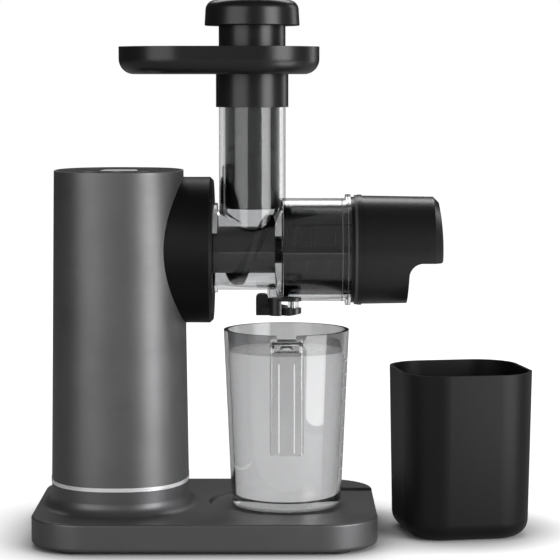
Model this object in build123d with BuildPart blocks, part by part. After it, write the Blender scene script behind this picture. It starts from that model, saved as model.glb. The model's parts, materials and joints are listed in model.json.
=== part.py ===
from build123d import *
import os
from math import acos, cos, pi, radians, sin, tan

# Cold press juicer: a motor tower on a slab base, a horizontal auger in a clear
# drum, a feed chute with tray and pusher, a jug under the spout and a pulp cup.
# Millimetres. X runs along the machine from the tower to the pulp outlet, the
# user stands at -Y, +Z is up and the table is Z = 0.

# --- modelling ----------------------------------------------------------------
MARGIN = 1
SAME_HEIGHT = 0.01

# --- base ---------------------------------------------------------------------
BASE_LENGTH = 237
BASE_DEPTH = 175
BASE_CORNER = 38
BASE_THICKNESS = 19
BASE_WALL = 3
BASE_SKIN = 4
BASE_TOP_EDGE = 1.5
BASE_LOW_EDGE = 2.5
COVER_THICKNESS = 2.4
COVER_GAP = 0.3
FOOT_HEIGHT = 2
FOOT_RADIUS = 11
FOOT_INSET_X = 30
FOOT_INSET_Y = 16
PLINTH_HEIGHT = 16.6
PLINTH_FLARE = 8
DECK_THICKNESS = 3
SPIGOT_WALL = 2
SPIGOT_HEIGHT = 8
SCREW_RADIUS = 1.5
SCREW_HEAD_RADIUS = 2.9
SCREW_HEAD_HEIGHT = 1.6
POST_RADIUS = 4
POST_INSET_X = 46
POST_INSET_Y = 12
CORD_RADIUS = 3.3
GLAND_RADIUS = 5
GLAND_FLANGE_RADIUS = 6.5
GLAND_FLANGE = 1.2
GLAND_LENGTH = 16

# --- jug recess in the base ---------------------------------------------------
RECESS_DEPTH = 2
RECESS_RADIUS = 52.5
RECESS_HALF_WIDTH = 47
RECESS_SLOPE = 45

# --- tower --------------------------------------------------------------------
TOWER_FROM_LEFT = 57.8
TOWER_HALF_WIDTH = 47.9
TOWER_HALF_DEPTH = 58
TOWER_TOP_HALF_WIDTH = 44.9
TOWER_TOP_HALF_DEPTH = 52
TOWER_HEIGHT = 214.3
TOWER_POWER = 2.4
TOWER_WALL = 2.6
OUTLINE_POINTS = 32
TRIM_HEIGHT = 2.6
TRIM_PROUD = 0.3
STATIC_GAP = 0.2

# --- top panel and controls ---------------------------------------------------
PANEL_INSET = 2
PANEL_THICKNESS = 3
PANEL_SUNK = 0.4
LEDGE_INSET = 5
LEDGE_THICKNESS = 2
WINDOW_WIDTH_BACK = 22
WINDOW_WIDTH_FRONT = 27
WINDOW_DEPTH = 26
WINDOW_THICKNESS = 1
WINDOW_Y = 8
WINDOW_CORNER = 3
BUTTON_RADIUS = 6.5
BUTTON_PITCH = 19
BUTTON_Y = -24
BUTTON_GAP = 0.3
BUTTON_PROUD = 0.2
BUTTON_FLANGE = 1.2
BUTTON_TRAVEL = 1
BUTTON_ROUND = 0.6
BUTTON_FLANGE_WIDTH = 1.4
BUTTON_STEM_WALL = 1
BOARD_THICKNESS = 1.6
BOARD_WIDTH = 60
BOARD_DEPTH = 56
BOARD_DROP = 9
SWITCH_SIZE = 6
SWITCH_BODY = 3.6
SWITCH_PLUNGER_RADIUS = 1.7
SWITCH_HEIGHT = 5
PANEL_POST_RADIUS = 2.4
PANEL_POST_X = 27
PANEL_POST_Y = 12

# --- drum mount on the tower's side -------------------------------------------
MOUNT_RADIUS = 51
MOUNT_BELOW_TOP = 4.7
MOUNT_REACH = 65.9
MOUNT_ROOT_REACH = 27.5
MOUNT_ROOT_HALF_DEPTH = 40
MOUNT_CHAMFER = 2.3
MOUNT_SKIN = 2.6
SOCKET_DEPTH = 15.8
SOCKET_LIP = 8.8
MOUNT_SCREW_RADIUS = 21
MOUNT_SCREW_ANGLES = (45, 135, 225, 315)
LUG_COUNT = 3
LUG_DEPTH = 3
LUG_LENGTH = 3.8
LUG_ARC = 30
LUG_ARC_GAP = 4
LUG_SIDE_GAP = 0.5
LUG_CLEARANCE = 0.4
LUG_SEAT_DEPTH = 1.9
DRUM_TWIST = 45

# --- gear train ---------------------------------------------------------------
MODULE = 1.25
PINION_TEETH = 14
WHEEL_TEETH = 49
PRESSURE_ANGLE = 25
BACKLASH = 0.15
ADDENDUM = 0.9
DEDENDUM = 1.15
FLANK_STEPS = 4
OUTPUT_FACE = 10
INPUT_FACE = 8
GEAR_SIDE_GAP = 2
GEARBOX_WALL = 5
GEARBOX_THIN_WALL = 2.5
GEARBOX_ROOM = 0.8
GEARBOX_PLATE = 3
GEARBOX_GAP = 0.1
PINION_ROOM = 12
MOTOR_SEAT_RADIUS = 24
COVER_SCREW_LENGTH = 12
COVER_SCREW_ANGLES_HIGH = (0, 90, 180)
COVER_SCREW_ANGLES_LOW = (-30, -150)
OUTPUT_SHAFT_RADIUS = 6
IDLER_SHAFT_RADIUS = 4
IDLER_SEAT_RADIUS = 5
RUNNING_FIT = 0.05
PRESS_GAP = 0.01
BUSH_WALL = 3
BUSH_LENGTH = 7
IDLER_BUSH_LENGTH = 5
BUSH_PROUD = 1
HUB_WALL = 3
GEAR_HUB_WALL = 4
GEAR_RIM = 5
GEAR_WEB = 5
SEAL_RADIUS = 10
SEAL_THICKNESS = 3.3

# --- motor --------------------------------------------------------------------
MOTOR_RADIUS = 27
MOTOR_LENGTH = 44.5
MOTOR_WALL = 2
BELL_THICKNESS = 3
MOTOR_SHAFT_RADIUS = 3
MOTOR_SHAFT_ROOM = 1
MOTOR_END_GAP = 0.5
BEARING_RADIUS = 8
BEARING_WIDTH = 4
BEARING_LAND = 3
ARMATURE_RADIUS = 16
ARMATURE_LENGTH = 22
ARMATURE_SLOTS = 9
ARMATURE_SLOT_WIDTH = 3
ARMATURE_SLOT_DEPTH = 5.3
WINDING_SUNK = 1
WINDING_END = 1.5
WINDING_ROOM = 2
MAGNET_GAP = 1
MAGNET_ARC = 130
COMMUTATOR_RADIUS = 7
COMMUTATOR_LENGTH = 6
COMMUTATOR_GAP = 2
BRUSH_SIZE = 5
BRUSH_GAP = 0.3
FAN_RADIUS = 20
FAN_GAP = 1
FAN_BLADES = 7
FAN_BLADE_INSET = 1.5
MOTOR_SCREW_Y = 12
MOTOR_SCREW_Z = 14
BRUSH_LENGTH = 8
FAN_THICKNESS = 4
FAN_DISC = 1
FAN_BLADE_LENGTH = 13
FAN_BLADE_WIDTH = 1.2
CRADLE_WIDTH = 34
CRADLE_LENGTH = 26
CRADLE_PAD = 2
CRADLE_SADDLE = 13.5
CRADLE_WINDOW_SIDE = 4
CRADLE_WINDOW_EDGE = 6
CRADLE_WINDOW_CORNER = 3
POWER_BOARD_WIDTH = 56
POWER_BOARD_HEIGHT = 44
POWER_BOARD_Y = 34
RELAY_X = 18
RELAY_Z = 14
RELAY_WIDTH = 14
RELAY_HEIGHT = 18
CAPACITOR_Z = 30
CAPACITOR_RADIUS = 6
BOARD_PART_DEPTH = 10
RAIL_SIZE = 6
RAIL_HEIGHT = 15

# --- drum ---------------------------------------------------------------------
DRUM_WALL = 2.7
FEED_RADIUS = 28
DRUM_SPIGOT_RADIUS = 30
SOCKET_GAP = 0.4
DRUM_FACE_GAP = 0.3
COLLAR_THICKNESS = 2.5
LOCK_TAB_RADIUS = 32.8
LOCK_TAB_HALF_WIDTH = 15
LOCK_TAB_LOW = 13.5
FEED_UNDER_CHUTE = 7.3
STEP_LENGTH = 4.9
STRAIN_RADIUS = 36
STRAIN_LENGTH = 44.1
BAYONET_RADIUS = 38.8
BAYONET_LENGTH = 3.5
FRONT_SPIGOT_RADIUS = 35.5
FRONT_SPIGOT_LENGTH = 9.2
GROOVE_FROM_RING = 2.4
GROOVE_LENGTH = 4.6
GROOVE_DEPTH = 1.1

# --- chute, tray and pusher ---------------------------------------------------
CHUTE_FACE_GAP = 3.9
CHUTE_RADIUS = 23.2
CHUTE_WALL = 3
CHUTE_TOP_ABOVE_AXIS = 122
TRAY_LENGTH = 138.9
TRAY_DEPTH = 100
TRAY_CORNER = 44
TRAY_HEIGHT = 19
TRAY_ROUND = 10.5
TRAY_WALL = 2.5
TRAY_OVER_TOWER = 22.8
TRAY_SEAT_GAP = 0.3
COLLAR_WALL = 1.6
COLLAR_GAP = 0.4
COLLAR_DROP = 22.7
PUSHER_GAP = 1.3
PUSHER_WALL = 2.2
PUSHER_NECK_HEIGHT = 30.7
PUSHER_SHAFT_LENGTH = 96
PUSHER_CAP_RADIUS = 33
PUSHER_CAP_TAPER = 1
PUSHER_CAP_HEIGHT = 17.7
PUSHER_CAP_ROUND = 7
PUSHER_CAP_EDGE = 0.8
PUSHER_PLUG = 6
PUSHER_END_ROUND = 1

# --- auger and strainer -------------------------------------------------------
AUGER_HUB_RADIUS = 16.3
AUGER_FROM_FLOOR = 2.2
AUGER_CLEARANCE = 0.6
FLIGHT_PITCH = 48
FLIGHT_ROOT = 9
FLIGHT_TIP = 4.2
FLIGHT_BACK = 4
FLIGHT_SHORT = 3
FLIGHT_SUNK = 1
FLIGHT_BOTTOM_X = 15.4
NECK_RADIUS = 9.5
SQUEEZE_PITCH = 14
SQUEEZE_ROOT = 3.6
SQUEEZE_TIP = 2
SQUEEZE_HUB_START = 13
SQUEEZE_HUB_END = 20
SQUEEZE_FROM_STEP = 1
SQUEEZE_SHORT = 2
SQUEEZE_FLIGHT_INSET = 2
SQUEEZE_SHOULDER = 2
HEX_ACROSS_FLATS = 12
HEX_CLEARANCE = 0.15
HEX_LENGTH = 15
HEX_FROM_FLOOR = 0.5
HEX_END_GAP = 1
TIP_RADIUS = 5
TIP_END_GAP = 1.1
STRAINER_RADIUS = 31.5
STRAINER_WALL = 1.5
STRAINER_RING = 3.5
STRAINER_FROM_STEP = 1
STRAINER_END_GAP = 0.3
STRAINER_WINDOWS = 8
STRAINER_RIB_ARC = 16
STRAINER_WINDOW_EDGE = 2
MESH_WALL = 0.5
MESH_GAP = 0.05
STRAINER_SEAT_GAP = 0.3

# --- spout and drip stop ------------------------------------------------------
SPOUT_FROM_STEP = 6
SPOUT_BORE_RADIUS = 3
SPOUT_RADIUS = 4.4
SPOUT_BELOW_AXIS = 33.6
STOP_CAP_RADIUS = 5
STOP_GAP = 0.3
STOP_DEPTH = 12.1
STOP_THUMB_LEFT = 12.2
STOP_THUMB_TOP = 29.8
STOP_THUMB_WIDTH = 8.6
STOP_THUMB_DEPTH = 8.6
STOP_THUMB_Y = -9.8
STOP_THUMB_ROUND = 3
STOP_RISE = 3.6
STOP_FRONT_RISE = 2
CLEVIS_X = 13.8
CLEVIS_Y = -24
CLEVIS_RADIUS = 5.5
CLEVIS_BAR = 2.2
CLEVIS_TOP_BELOW_AXIS = 31.4
LUG_PLATE = 4.2
LUG_PLATE_WIDTH = 7.5
PIN_RADIUS = 1.6
STOP_SEAL_THICKNESS = 1.2
STOP_SEAL_RADIUS = 4.2
STOP_CAP_CHAMFER = 0.6

# --- front cap ----------------------------------------------------------------
CAP_GAP = 0.3
CAP_BORE_RADIUS = 35.9
CAP_SLEEVE_RADIUS = 37
CAP_SLEEVE_LENGTH = 4.6
CAP_FLANGE_RADIUS = 38.6
CAP_FLANGE_LENGTH = 2.8
CAP_RADIUS = 37.9
CAP_END_RADIUS = 37.1
CAP_LENGTH = 64.8
CAP_BEVEL_X = 7.3
CAP_BEVEL_LENGTH = 3.8
CAP_BEVEL_RADIUS = 33.3
CAP_WALL = 2.2
CAP_SEAL_RADIUS = 38.3
CAP_SEAL_LENGTH = 2.2
CAP_LUG_DEPTH = 1.1
CAP_LUG_SIDE_GAP = 0.6
CAP_LUG_ARC = 22
CAP_TWIST = 30
CAP_DOME = 0.9
CAP_BOND = 0.5
OUTLET_LENGTH = 25
OUTLET_BELOW_AXIS = 7
OUTLET_ROUND = 9.5
OUTLET_WALL_TOP = 13
OUTLET_LEAN = 2
SPIDER_FROM_END = 52
SPIDER_THICKNESS = 4
SPIDER_ARMS = 3
SPIDER_ARM_ARC = 12
TIP_BUSH_WALL = 2
TIP_BUSH_LENGTH = 6
TIP_SEAT_WALL = 2

# --- jug ----------------------------------------------------------------------
JUG_FROM_SPOUT = 9
JUG_TOP_RADIUS = 44
JUG_BOTTOM_RADIUS = 38.4
JUG_WALL = 3
JUG_FLOOR = 5.9
JUG_FOOT_ROUND = 3
JUG_UNDER_STOP = 10.2
JUG_SEAT_GAP = 0.2
HANDLE_WIDTH = 22.6
HANDLE_REACH = 72
HANDLE_DEPTH = 7.5
HANDLE_WALL = 3
HANDLE_ROUND = 8
HANDLE_LEAN = 4
HANDLE_LENGTH = 76
HANDLE_EDGE = 2
HANDLE_TOP_DROP = 2
NOTCH_WIDTH = 13
NOTCH_DEPTH = 8

# --- pulp cup -----------------------------------------------------------------
CUP_GAP = 11
CUP_SIDE = 92
CUP_CORNER = 28
CUP_HEIGHT = 115.5
CUP_WALL = 2.2
CUP_TAPER = 1.1
CUP_FOOT_ROUND = 12
CUP_TURN = 10

# --- derived places -----------------------------------------------------------
cup_half_span = (CUP_SIDE / 2 - CUP_CORNER) * (cos(radians(CUP_TURN)) + sin(radians(CUP_TURN)))
cup_half_span += CUP_CORNER
row_length = BASE_LENGTH + CUP_GAP + 2 * cup_half_span
base_left = -row_length / 2
base_x = base_left + BASE_LENGTH / 2
cup_x = row_length / 2 - cup_half_span
tower_x = base_left + TOWER_FROM_LEFT

base_top = FOOT_HEIGHT + BASE_THICKNESS
cover_top = FOOT_HEIGHT + COVER_THICKNESS
deck_top = base_top + PLINTH_HEIGHT
shell_bottom = deck_top + TRIM_HEIGHT
tower_top = shell_bottom + TOWER_HEIGHT
panel_top = tower_top - PANEL_SUNK
panel_bottom = panel_top - PANEL_THICKNESS
board_top = panel_bottom - BOARD_DROP
axis_z = tower_top - MOUNT_BELOW_TOP - MOUNT_RADIUS

face_x = tower_x + MOUNT_REACH
socket_floor_x = face_x - SOCKET_DEPTH
collar_x = face_x + DRUM_FACE_GAP
chute_x = face_x + CHUTE_FACE_GAP + CHUTE_RADIUS
feed_end_x = chute_x + CHUTE_RADIUS - FEED_UNDER_CHUTE
step_end_x = feed_end_x + STEP_LENGTH
strain_end_x = step_end_x + STRAIN_LENGTH
ring_end_x = strain_end_x + BAYONET_LENGTH
drum_end_x = ring_end_x + FRONT_SPIGOT_LENGTH
cap_start = ring_end_x + CAP_GAP
flange_start = cap_start + CAP_SLEEVE_LENGTH
body_start = flange_start + CAP_FLANGE_LENGTH
cap_end = cap_start + CAP_LENGTH
spider_start = cap_end - SPIDER_FROM_END
strainer_start = step_end_x + STRAINER_FROM_STEP
strainer_end = drum_end_x - STRAINER_END_GAP
chute_top = axis_z + CHUTE_TOP_ABOVE_AXIS
feed_bore = FEED_RADIUS - DRUM_WALL
strain_bore = STRAIN_RADIUS - DRUM_WALL
chute_bore = CHUTE_RADIUS - CHUTE_WALL
spout_x = step_end_x - SPOUT_FROM_STEP
spout_bottom = axis_z - SPOUT_BELOW_AXIS
stop_bottom = spout_bottom - STOP_DEPTH

pinion_radius = MODULE * PINION_TEETH / 2
wheel_radius = MODULE * WHEEL_TEETH / 2
wheel_tip = wheel_radius + ADDENDUM * MODULE
centre_distance = pinion_radius + wheel_radius
idler_z = axis_z - centre_distance
motor_z = idler_z - centre_distance


def half_sizes(z):
    """The tower's half-width and half-depth at height z."""
    share = (z - shell_bottom) / TOWER_HEIGHT
    width = TOWER_HALF_WIDTH + share * (TOWER_TOP_HALF_WIDTH - TOWER_HALF_WIDTH)
    depth = TOWER_HALF_DEPTH + share * (TOWER_TOP_HALF_DEPTH - TOWER_HALF_DEPTH)
    return width, depth


def tower_plan(z, inset=0.0):
    """The tower's plan at height z, a superellipse, moved in by inset."""
    width, depth = (half - inset for half in half_sizes(z))
    outline = []
    for step in range(OUTLINE_POINTS):
        c = cos(2 * pi * step / OUTLINE_POINTS)
        s = sin(2 * pi * step / OUTLINE_POINTS)
        reach = (abs(c / width) ** TOWER_POWER + abs(s / depth) ** TOWER_POWER) ** (-1 / TOWER_POWER)
        outline.append((reach * c, reach * s))
    with BuildSketch() as plan:
        with BuildLine():
            Spline(*outline, periodic=True)
        make_face()
    return plan.sketch


def over(x, z):
    """A level plane at height z with its origin at x."""
    return Plane(origin=(x, 0, z), x_dir=(1, 0, 0), z_dir=(0, 0, 1))


def across(x, z):
    """An upright plane facing +X, its origin at x and height z; its own x is Y."""
    return Plane(origin=(x, 0, z), x_dir=(0, 1, 0), z_dir=(1, 0, 0))


def side(z=0.0, y=0.0):
    """An upright plane facing the user, its own x along X and its own y up."""
    return Plane(origin=(0, y, z), x_dir=(1, 0, 0), z_dir=(0, -1, 0))


def tower_body(low, high, inset):
    """The tower's form between two heights, moved in by inset."""
    with BuildPart() as body:
        for z in (low, high):
            with BuildSketch(over(tower_x, z)):
                add(tower_plan(z, inset))
        loft()
    return body.part


def turned(profile, z=None):
    """A solid turned about the X axis at height z, from its (x, radius) outline."""
    height = axis_z if z is None else z
    with BuildPart() as solid:
        with BuildSketch(side(height)):
            Polygon(*profile, align=None)
        revolve(axis=Axis((0, 0, height), (1, 0, 0)))
    return solid.part


def ring(start, end, outer, inner, z=None):
    """A ring or tube about the X axis between two places along X."""
    return turned([(start, inner), (start, outer), (end, outer), (end, inner)], z)


def sector(start, end, outer, inner, angle, arc, z=None):
    """A piece of a ring about the X axis, arc degrees wide, centred on angle from +Z."""
    height = axis_z if z is None else z
    reach = outer / cos(radians(arc / 2)) + MARGIN
    half = radians(arc / 2)
    with BuildPart() as piece:
        add(ring(start, end, outer, inner, height))
        with BuildSketch(across(start, height)):
            with Locations(Location((0, 0), angle)):
                Polygon((0, 0), (-reach * sin(half), reach * cos(half)),
                        (reach * sin(half), reach * cos(half)), align=None)
        extrude(amount=end - start, mode=Mode.INTERSECT)
    return piece.part


def disc_screw(x, y, z, length, direction):
    """A flat-headed screw, head at (x, y, z), its shank running along direction."""
    with BuildPart() as screw:
        with BuildSketch(Plane(origin=(x, y, z), z_dir=direction)):
            Circle(SCREW_HEAD_RADIUS)
        extrude(amount=SCREW_HEAD_HEIGHT)
        with BuildSketch(Plane(origin=(x, y, z), z_dir=direction)):
            Circle(SCREW_RADIUS)
        extrude(amount=length)
    return screw.part


def mirrored_spots(x, y):
    """The four points (+-x, +-y)."""
    return [(i * x, j * y) for i in (-1, 1) for j in (-1, 1)]


# === base ======================================================================
foot_spots = mirrored_spots(BASE_LENGTH / 2 - FOOT_INSET_X, BASE_DEPTH / 2 - FOOT_INSET_Y)
post_spots = mirrored_spots(BASE_LENGTH / 2 - POST_INSET_X, BASE_DEPTH / 2 - POST_INSET_Y)
jug_x = spout_x + JUG_FROM_SPOUT
gland_z = (cover_top + base_top - BASE_SKIN) / 2
recess_floor = base_top - RECESS_DEPTH

with BuildPart() as base_housing:
    with BuildSketch(over(base_x, FOOT_HEIGHT)):
        RectangleRounded(BASE_LENGTH, BASE_DEPTH, BASE_CORNER)
    extrude(amount=BASE_THICKNESS)
    fillet(base_housing.faces().sort_by(Axis.Z)[-1].edges(), BASE_TOP_EDGE)
    fillet(base_housing.faces().sort_by(Axis.Z)[0].edges(), BASE_LOW_EDGE)
    with BuildSketch(over(tower_x, base_top)):
        add(tower_plan(shell_bottom))
    extrude(amount=PLINTH_HEIGHT)
    plinth_foot = base_housing.edges().filter_by(GeomType.BSPLINE)
    fillet(plinth_foot.filter_by_position(Axis.Z, base_top - SAME_HEIGHT, base_top + SAME_HEIGHT), PLINTH_FLARE)
    # hollow slab, open below, and hollow plinth under its deck
    with BuildSketch(over(base_x, FOOT_HEIGHT)):
        RectangleRounded(BASE_LENGTH - 2 * BASE_WALL, BASE_DEPTH - 2 * BASE_WALL, BASE_CORNER - BASE_WALL)
    extrude(amount=BASE_THICKNESS - BASE_SKIN, mode=Mode.SUBTRACT)
    with BuildSketch(over(tower_x, base_top - BASE_SKIN)):
        add(tower_plan(shell_bottom, BASE_WALL))
    extrude(amount=PLINTH_HEIGHT + BASE_SKIN - DECK_THICKNESS, mode=Mode.SUBTRACT)
    # spigot that the trim ring and the tower shell slip over
    with BuildSketch(over(tower_x, deck_top)):
        add(tower_plan(shell_bottom, TOWER_WALL + STATIC_GAP))
        add(tower_plan(shell_bottom, TOWER_WALL + STATIC_GAP + SPIGOT_WALL), mode=Mode.SUBTRACT)
    extrude(amount=SPIGOT_HEIGHT)
    # jug recess, a round dish that runs out through the right end
    with BuildSketch(over(jug_x, recess_floor)):
        Circle(RECESS_RADIUS)
        with Locations((BASE_LENGTH / 2, 0)):
            Rectangle(BASE_LENGTH, 2 * RECESS_HALF_WIDTH)
    extrude(amount=RECESS_DEPTH, taper=-RECESS_SLOPE, mode=Mode.SUBTRACT)
    # screw posts down to the cover
    with BuildSketch(over(base_x, cover_top)):
        with Locations(*post_spots):
            Circle(POST_RADIUS)
    extrude(amount=base_top - BASE_SKIN - cover_top)
    with BuildSketch(over(base_x, cover_top)):
        with Locations(*post_spots):
            Circle(SCREW_RADIUS + PRESS_GAP)
    extrude(amount=BASE_THICKNESS / 2, mode=Mode.SUBTRACT)
    # cord gland's stepped hole in the back wall
    back_wall = Plane(origin=(tower_x, BASE_DEPTH / 2, gland_z), x_dir=(1, 0, 0), z_dir=(0, -1, 0))
    with BuildSketch(back_wall):
        Circle(GLAND_FLANGE_RADIUS + STATIC_GAP)
    extrude(amount=GLAND_FLANGE, mode=Mode.SUBTRACT)
    with BuildSketch(back_wall):
        Circle(GLAND_RADIUS + PRESS_GAP)
    extrude(amount=BASE_WALL + BASE_SKIN, mode=Mode.SUBTRACT)

with BuildPart() as bottom_cover:
    with BuildSketch(over(base_x, FOOT_HEIGHT)):
        RectangleRounded(BASE_LENGTH - 2 * (BASE_WALL + COVER_GAP),
                         BASE_DEPTH - 2 * (BASE_WALL + COVER_GAP),
                         BASE_CORNER - BASE_WALL - COVER_GAP)
    extrude(amount=COVER_THICKNESS)
    with BuildSketch(over(base_x, FOOT_HEIGHT)):
        with Locations(*post_spots):
            Circle(SCREW_RADIUS + STATIC_GAP)
    extrude(amount=COVER_THICKNESS, mode=Mode.SUBTRACT)
    with BuildSketch(over(base_x, FOOT_HEIGHT)):
        with Locations(*post_spots):
            Circle(SCREW_HEAD_RADIUS + STATIC_GAP)
    extrude(amount=SCREW_HEAD_HEIGHT, mode=Mode.SUBTRACT)

with BuildPart() as rubber_feet:
    with BuildSketch(over(base_x, 0)):
        with Locations(*foot_spots):
            Circle(FOOT_RADIUS)
    extrude(amount=FOOT_HEIGHT)
    chamfer(rubber_feet.faces().filter_by_position(Axis.Z, -SAME_HEIGHT, SAME_HEIGHT).edges(), FOOT_HEIGHT / 4)

with BuildPart() as base_screws:
    for x, y in post_spots:
        add(disc_screw(base_x + x, y, FOOT_HEIGHT, BASE_THICKNESS / 2, (0, 0, 1)))

with BuildPart() as cord_gland:
    with BuildSketch(back_wall):
        Circle(GLAND_FLANGE_RADIUS)
    extrude(amount=GLAND_FLANGE)
    with BuildSketch(back_wall):
        Circle(GLAND_RADIUS)
    extrude(amount=GLAND_LENGTH)
    with BuildSketch(back_wall):
        Circle(CORD_RADIUS)
    extrude(amount=GLAND_LENGTH, mode=Mode.SUBTRACT)

with BuildPart() as trim_ring:
    with BuildSketch(over(tower_x, deck_top)):
        add(tower_plan(shell_bottom, -TRIM_PROUD))
        add(tower_plan(shell_bottom, TOWER_WALL), mode=Mode.SUBTRACT)
    extrude(amount=TRIM_HEIGHT)

# === tower shell, top panel and controls ========================================
def mount_form(inset=0.0):
    """The drum mount's outer form: an ellipse at its root, a circle at its face."""
    root_x = tower_x + MOUNT_ROOT_REACH
    with BuildPart() as form:
        with BuildSketch(across(root_x, axis_z)):
            Ellipse(MOUNT_ROOT_HALF_DEPTH - inset, MOUNT_RADIUS - inset)
        with BuildSketch(across(face_x, axis_z)):
            Ellipse(MOUNT_RADIUS - inset, MOUNT_RADIUS - inset + 0.001)
        loft()
    return form.part


with BuildPart() as tower_shell:
    add(tower_body(shell_bottom, tower_top, 0))
    add(tower_body(shell_bottom, panel_bottom - LEDGE_THICKNESS, TOWER_WALL), mode=Mode.SUBTRACT)
    with BuildSketch(over(tower_x, panel_bottom - LEDGE_THICKNESS)):
        add(tower_plan(tower_top, LEDGE_INSET))
    extrude(amount=LEDGE_THICKNESS, mode=Mode.SUBTRACT)
    with BuildSketch(over(tower_x, panel_bottom)):
        add(tower_plan(tower_top, PANEL_INSET - STATIC_GAP))
    extrude(amount=tower_top - panel_bottom, mode=Mode.SUBTRACT)
    add(mount_form(), mode=Mode.SUBTRACT)

button_spots = [(i * BUTTON_PITCH, BUTTON_Y) for i in (-1, 0, 1)]


def window_plan(grow=0.0):
    """The display window, a trapezoid wider towards the user."""
    with BuildSketch() as plan:
        back, front = WINDOW_WIDTH_BACK / 2, WINDOW_WIDTH_FRONT / 2
        low, high = WINDOW_Y - WINDOW_DEPTH / 2, WINDOW_Y + WINDOW_DEPTH / 2
        Polygon((-front, low), (front, low), (back, high), (-back, high), align=None)
        fillet(plan.vertices(), WINDOW_CORNER)
        if grow:
            offset(amount=grow)
    return plan.sketch


with BuildPart() as top_panel:
    with BuildSketch(over(tower_x, panel_bottom)):
        add(tower_plan(tower_top, PANEL_INSET))
    extrude(amount=PANEL_THICKNESS)
    with BuildSketch(over(tower_x, panel_bottom - BOARD_DROP)):
        with Locations(*mirrored_spots(PANEL_POST_X, PANEL_POST_Y)):
            Circle(PANEL_POST_RADIUS)
    extrude(amount=BOARD_DROP)
    with BuildSketch(over(tower_x, panel_bottom)):
        with Locations(*button_spots):
            Circle(BUTTON_RADIUS + BUTTON_GAP)
    extrude(amount=PANEL_THICKNESS, mode=Mode.SUBTRACT)
    with BuildSketch(over(tower_x, panel_top)):
        add(window_plan(STATIC_GAP))
    extrude(amount=-WINDOW_THICKNESS, mode=Mode.SUBTRACT)

with BuildPart() as display_window:
    with BuildSketch(over(tower_x, panel_top)):
        add(window_plan())
    extrude(amount=-WINDOW_THICKNESS)

with BuildPart() as control_board:
    with BuildSketch(over(tower_x, board_top - BOARD_THICKNESS)):
        Rectangle(BOARD_WIDTH, BOARD_DEPTH)
    extrude(amount=BOARD_THICKNESS)

with BuildPart() as button_switches:
    with BuildSketch(over(tower_x, board_top)):
        with Locations(*button_spots):
            Rectangle(SWITCH_SIZE, SWITCH_SIZE)
    extrude(amount=SWITCH_BODY)
    with BuildSketch(over(tower_x, board_top)):
        with Locations(*button_spots):
            Circle(SWITCH_PLUNGER_RADIUS)
    extrude(amount=SWITCH_HEIGHT)


def push_button(x):
    """A push button: cap in the panel's hole, flange under it, stem over its switch."""
    flange_top = panel_bottom - STATIC_GAP
    stem_bottom = board_top + SWITCH_HEIGHT + BUTTON_TRAVEL + STATIC_GAP
    with BuildPart() as button:
        with BuildSketch(Plane(origin=(tower_x + x, BUTTON_Y, flange_top))):
            Circle(BUTTON_RADIUS)
        extrude(amount=panel_top + BUTTON_PROUD - flange_top)
        fillet(button.faces().sort_by(Axis.Z)[-1].edges(), BUTTON_ROUND)
        with BuildSketch(Plane(origin=(tower_x + x, BUTTON_Y, flange_top - BUTTON_FLANGE))):
            Circle(BUTTON_RADIUS + BUTTON_FLANGE_WIDTH)
        extrude(amount=BUTTON_FLANGE)
        with BuildSketch(Plane(origin=(tower_x + x, BUTTON_Y, stem_bottom))):
            Circle(SWITCH_PLUNGER_RADIUS + BUTTON_STEM_WALL)
        extrude(amount=flange_top - BUTTON_FLANGE - stem_bottom)
    return button


power_button, start_button, reverse_button = (push_button(x) for x, _ in button_spots)

# === gear train =================================================================
gearbox_front = tower_x + half_sizes(axis_z)[0] - TOWER_WALL - GEARBOX_GAP
cover_back = gearbox_front - GEARBOX_PLATE
output_face_end = cover_back - GEAR_SIDE_GAP
output_face_start = output_face_end - OUTPUT_FACE
input_face_end = output_face_start - GEAR_SIDE_GAP
input_face_start = input_face_end - INPUT_FACE
gearbox_inner_back = input_face_start - GEAR_SIDE_GAP
gearbox_back = gearbox_inner_back - GEARBOX_PLATE
wheel_room = wheel_tip + GEARBOX_ROOM


def gear_plan(teeth, tooth_angle):
    """A spur gear's outline with involute flanks; one tooth is centred on tooth_angle."""
    pitch = MODULE * teeth / 2
    base = pitch * cos(radians(PRESSURE_ANGLE))
    tip = pitch + ADDENDUM * MODULE
    root = pitch - DEDENDUM * MODULE
    start = max(base, root)
    flat = (pi * MODULE / 2 - BACKLASH) / (2 * pitch)
    spread = tan(radians(PRESSURE_ANGLE)) - radians(PRESSURE_ANGLE)
    flank = [(root, 0.0)] if root < base else []
    flank += [(start + (tip - start) * k / FLANK_STEPS, 0.0) for k in range(FLANK_STEPS + 1)]
    half = []
    for radius, _ in flank:
        lean = acos(min(1.0, base / radius))
        half.append((radius, flat + spread - (tan(lean) - lean)))
    outline = []
    for tooth in range(teeth):
        middle = radians(tooth_angle) + 2 * pi * tooth / teeth
        outline += [(r * cos(middle - a), r * sin(middle - a)) for r, a in half]
        outline += [(r * cos(middle + a), r * sin(middle + a)) for r, a in reversed(half)]
    with BuildSketch() as plan:
        with BuildLine():
            Polyline(*outline, close=True)
        make_face()
    return plan.sketch


def gearbox_plan(output, idler, motor=0):
    """The gearbox's outline about its shafts: a radius at the output, idler and motor axes."""
    with BuildSketch() as plan:
        Circle(output)
        with Locations((0, -centre_distance)):
            Circle(idler)
        with Locations((0, -centre_distance / 2)):
            Rectangle(2 * idler, centre_distance)
        if motor:
            with Locations((0, -2 * centre_distance)):
                Circle(motor)
            with Locations((0, -1.5 * centre_distance)):
                Rectangle(2 * motor, centre_distance)
    return plan.sketch


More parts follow.
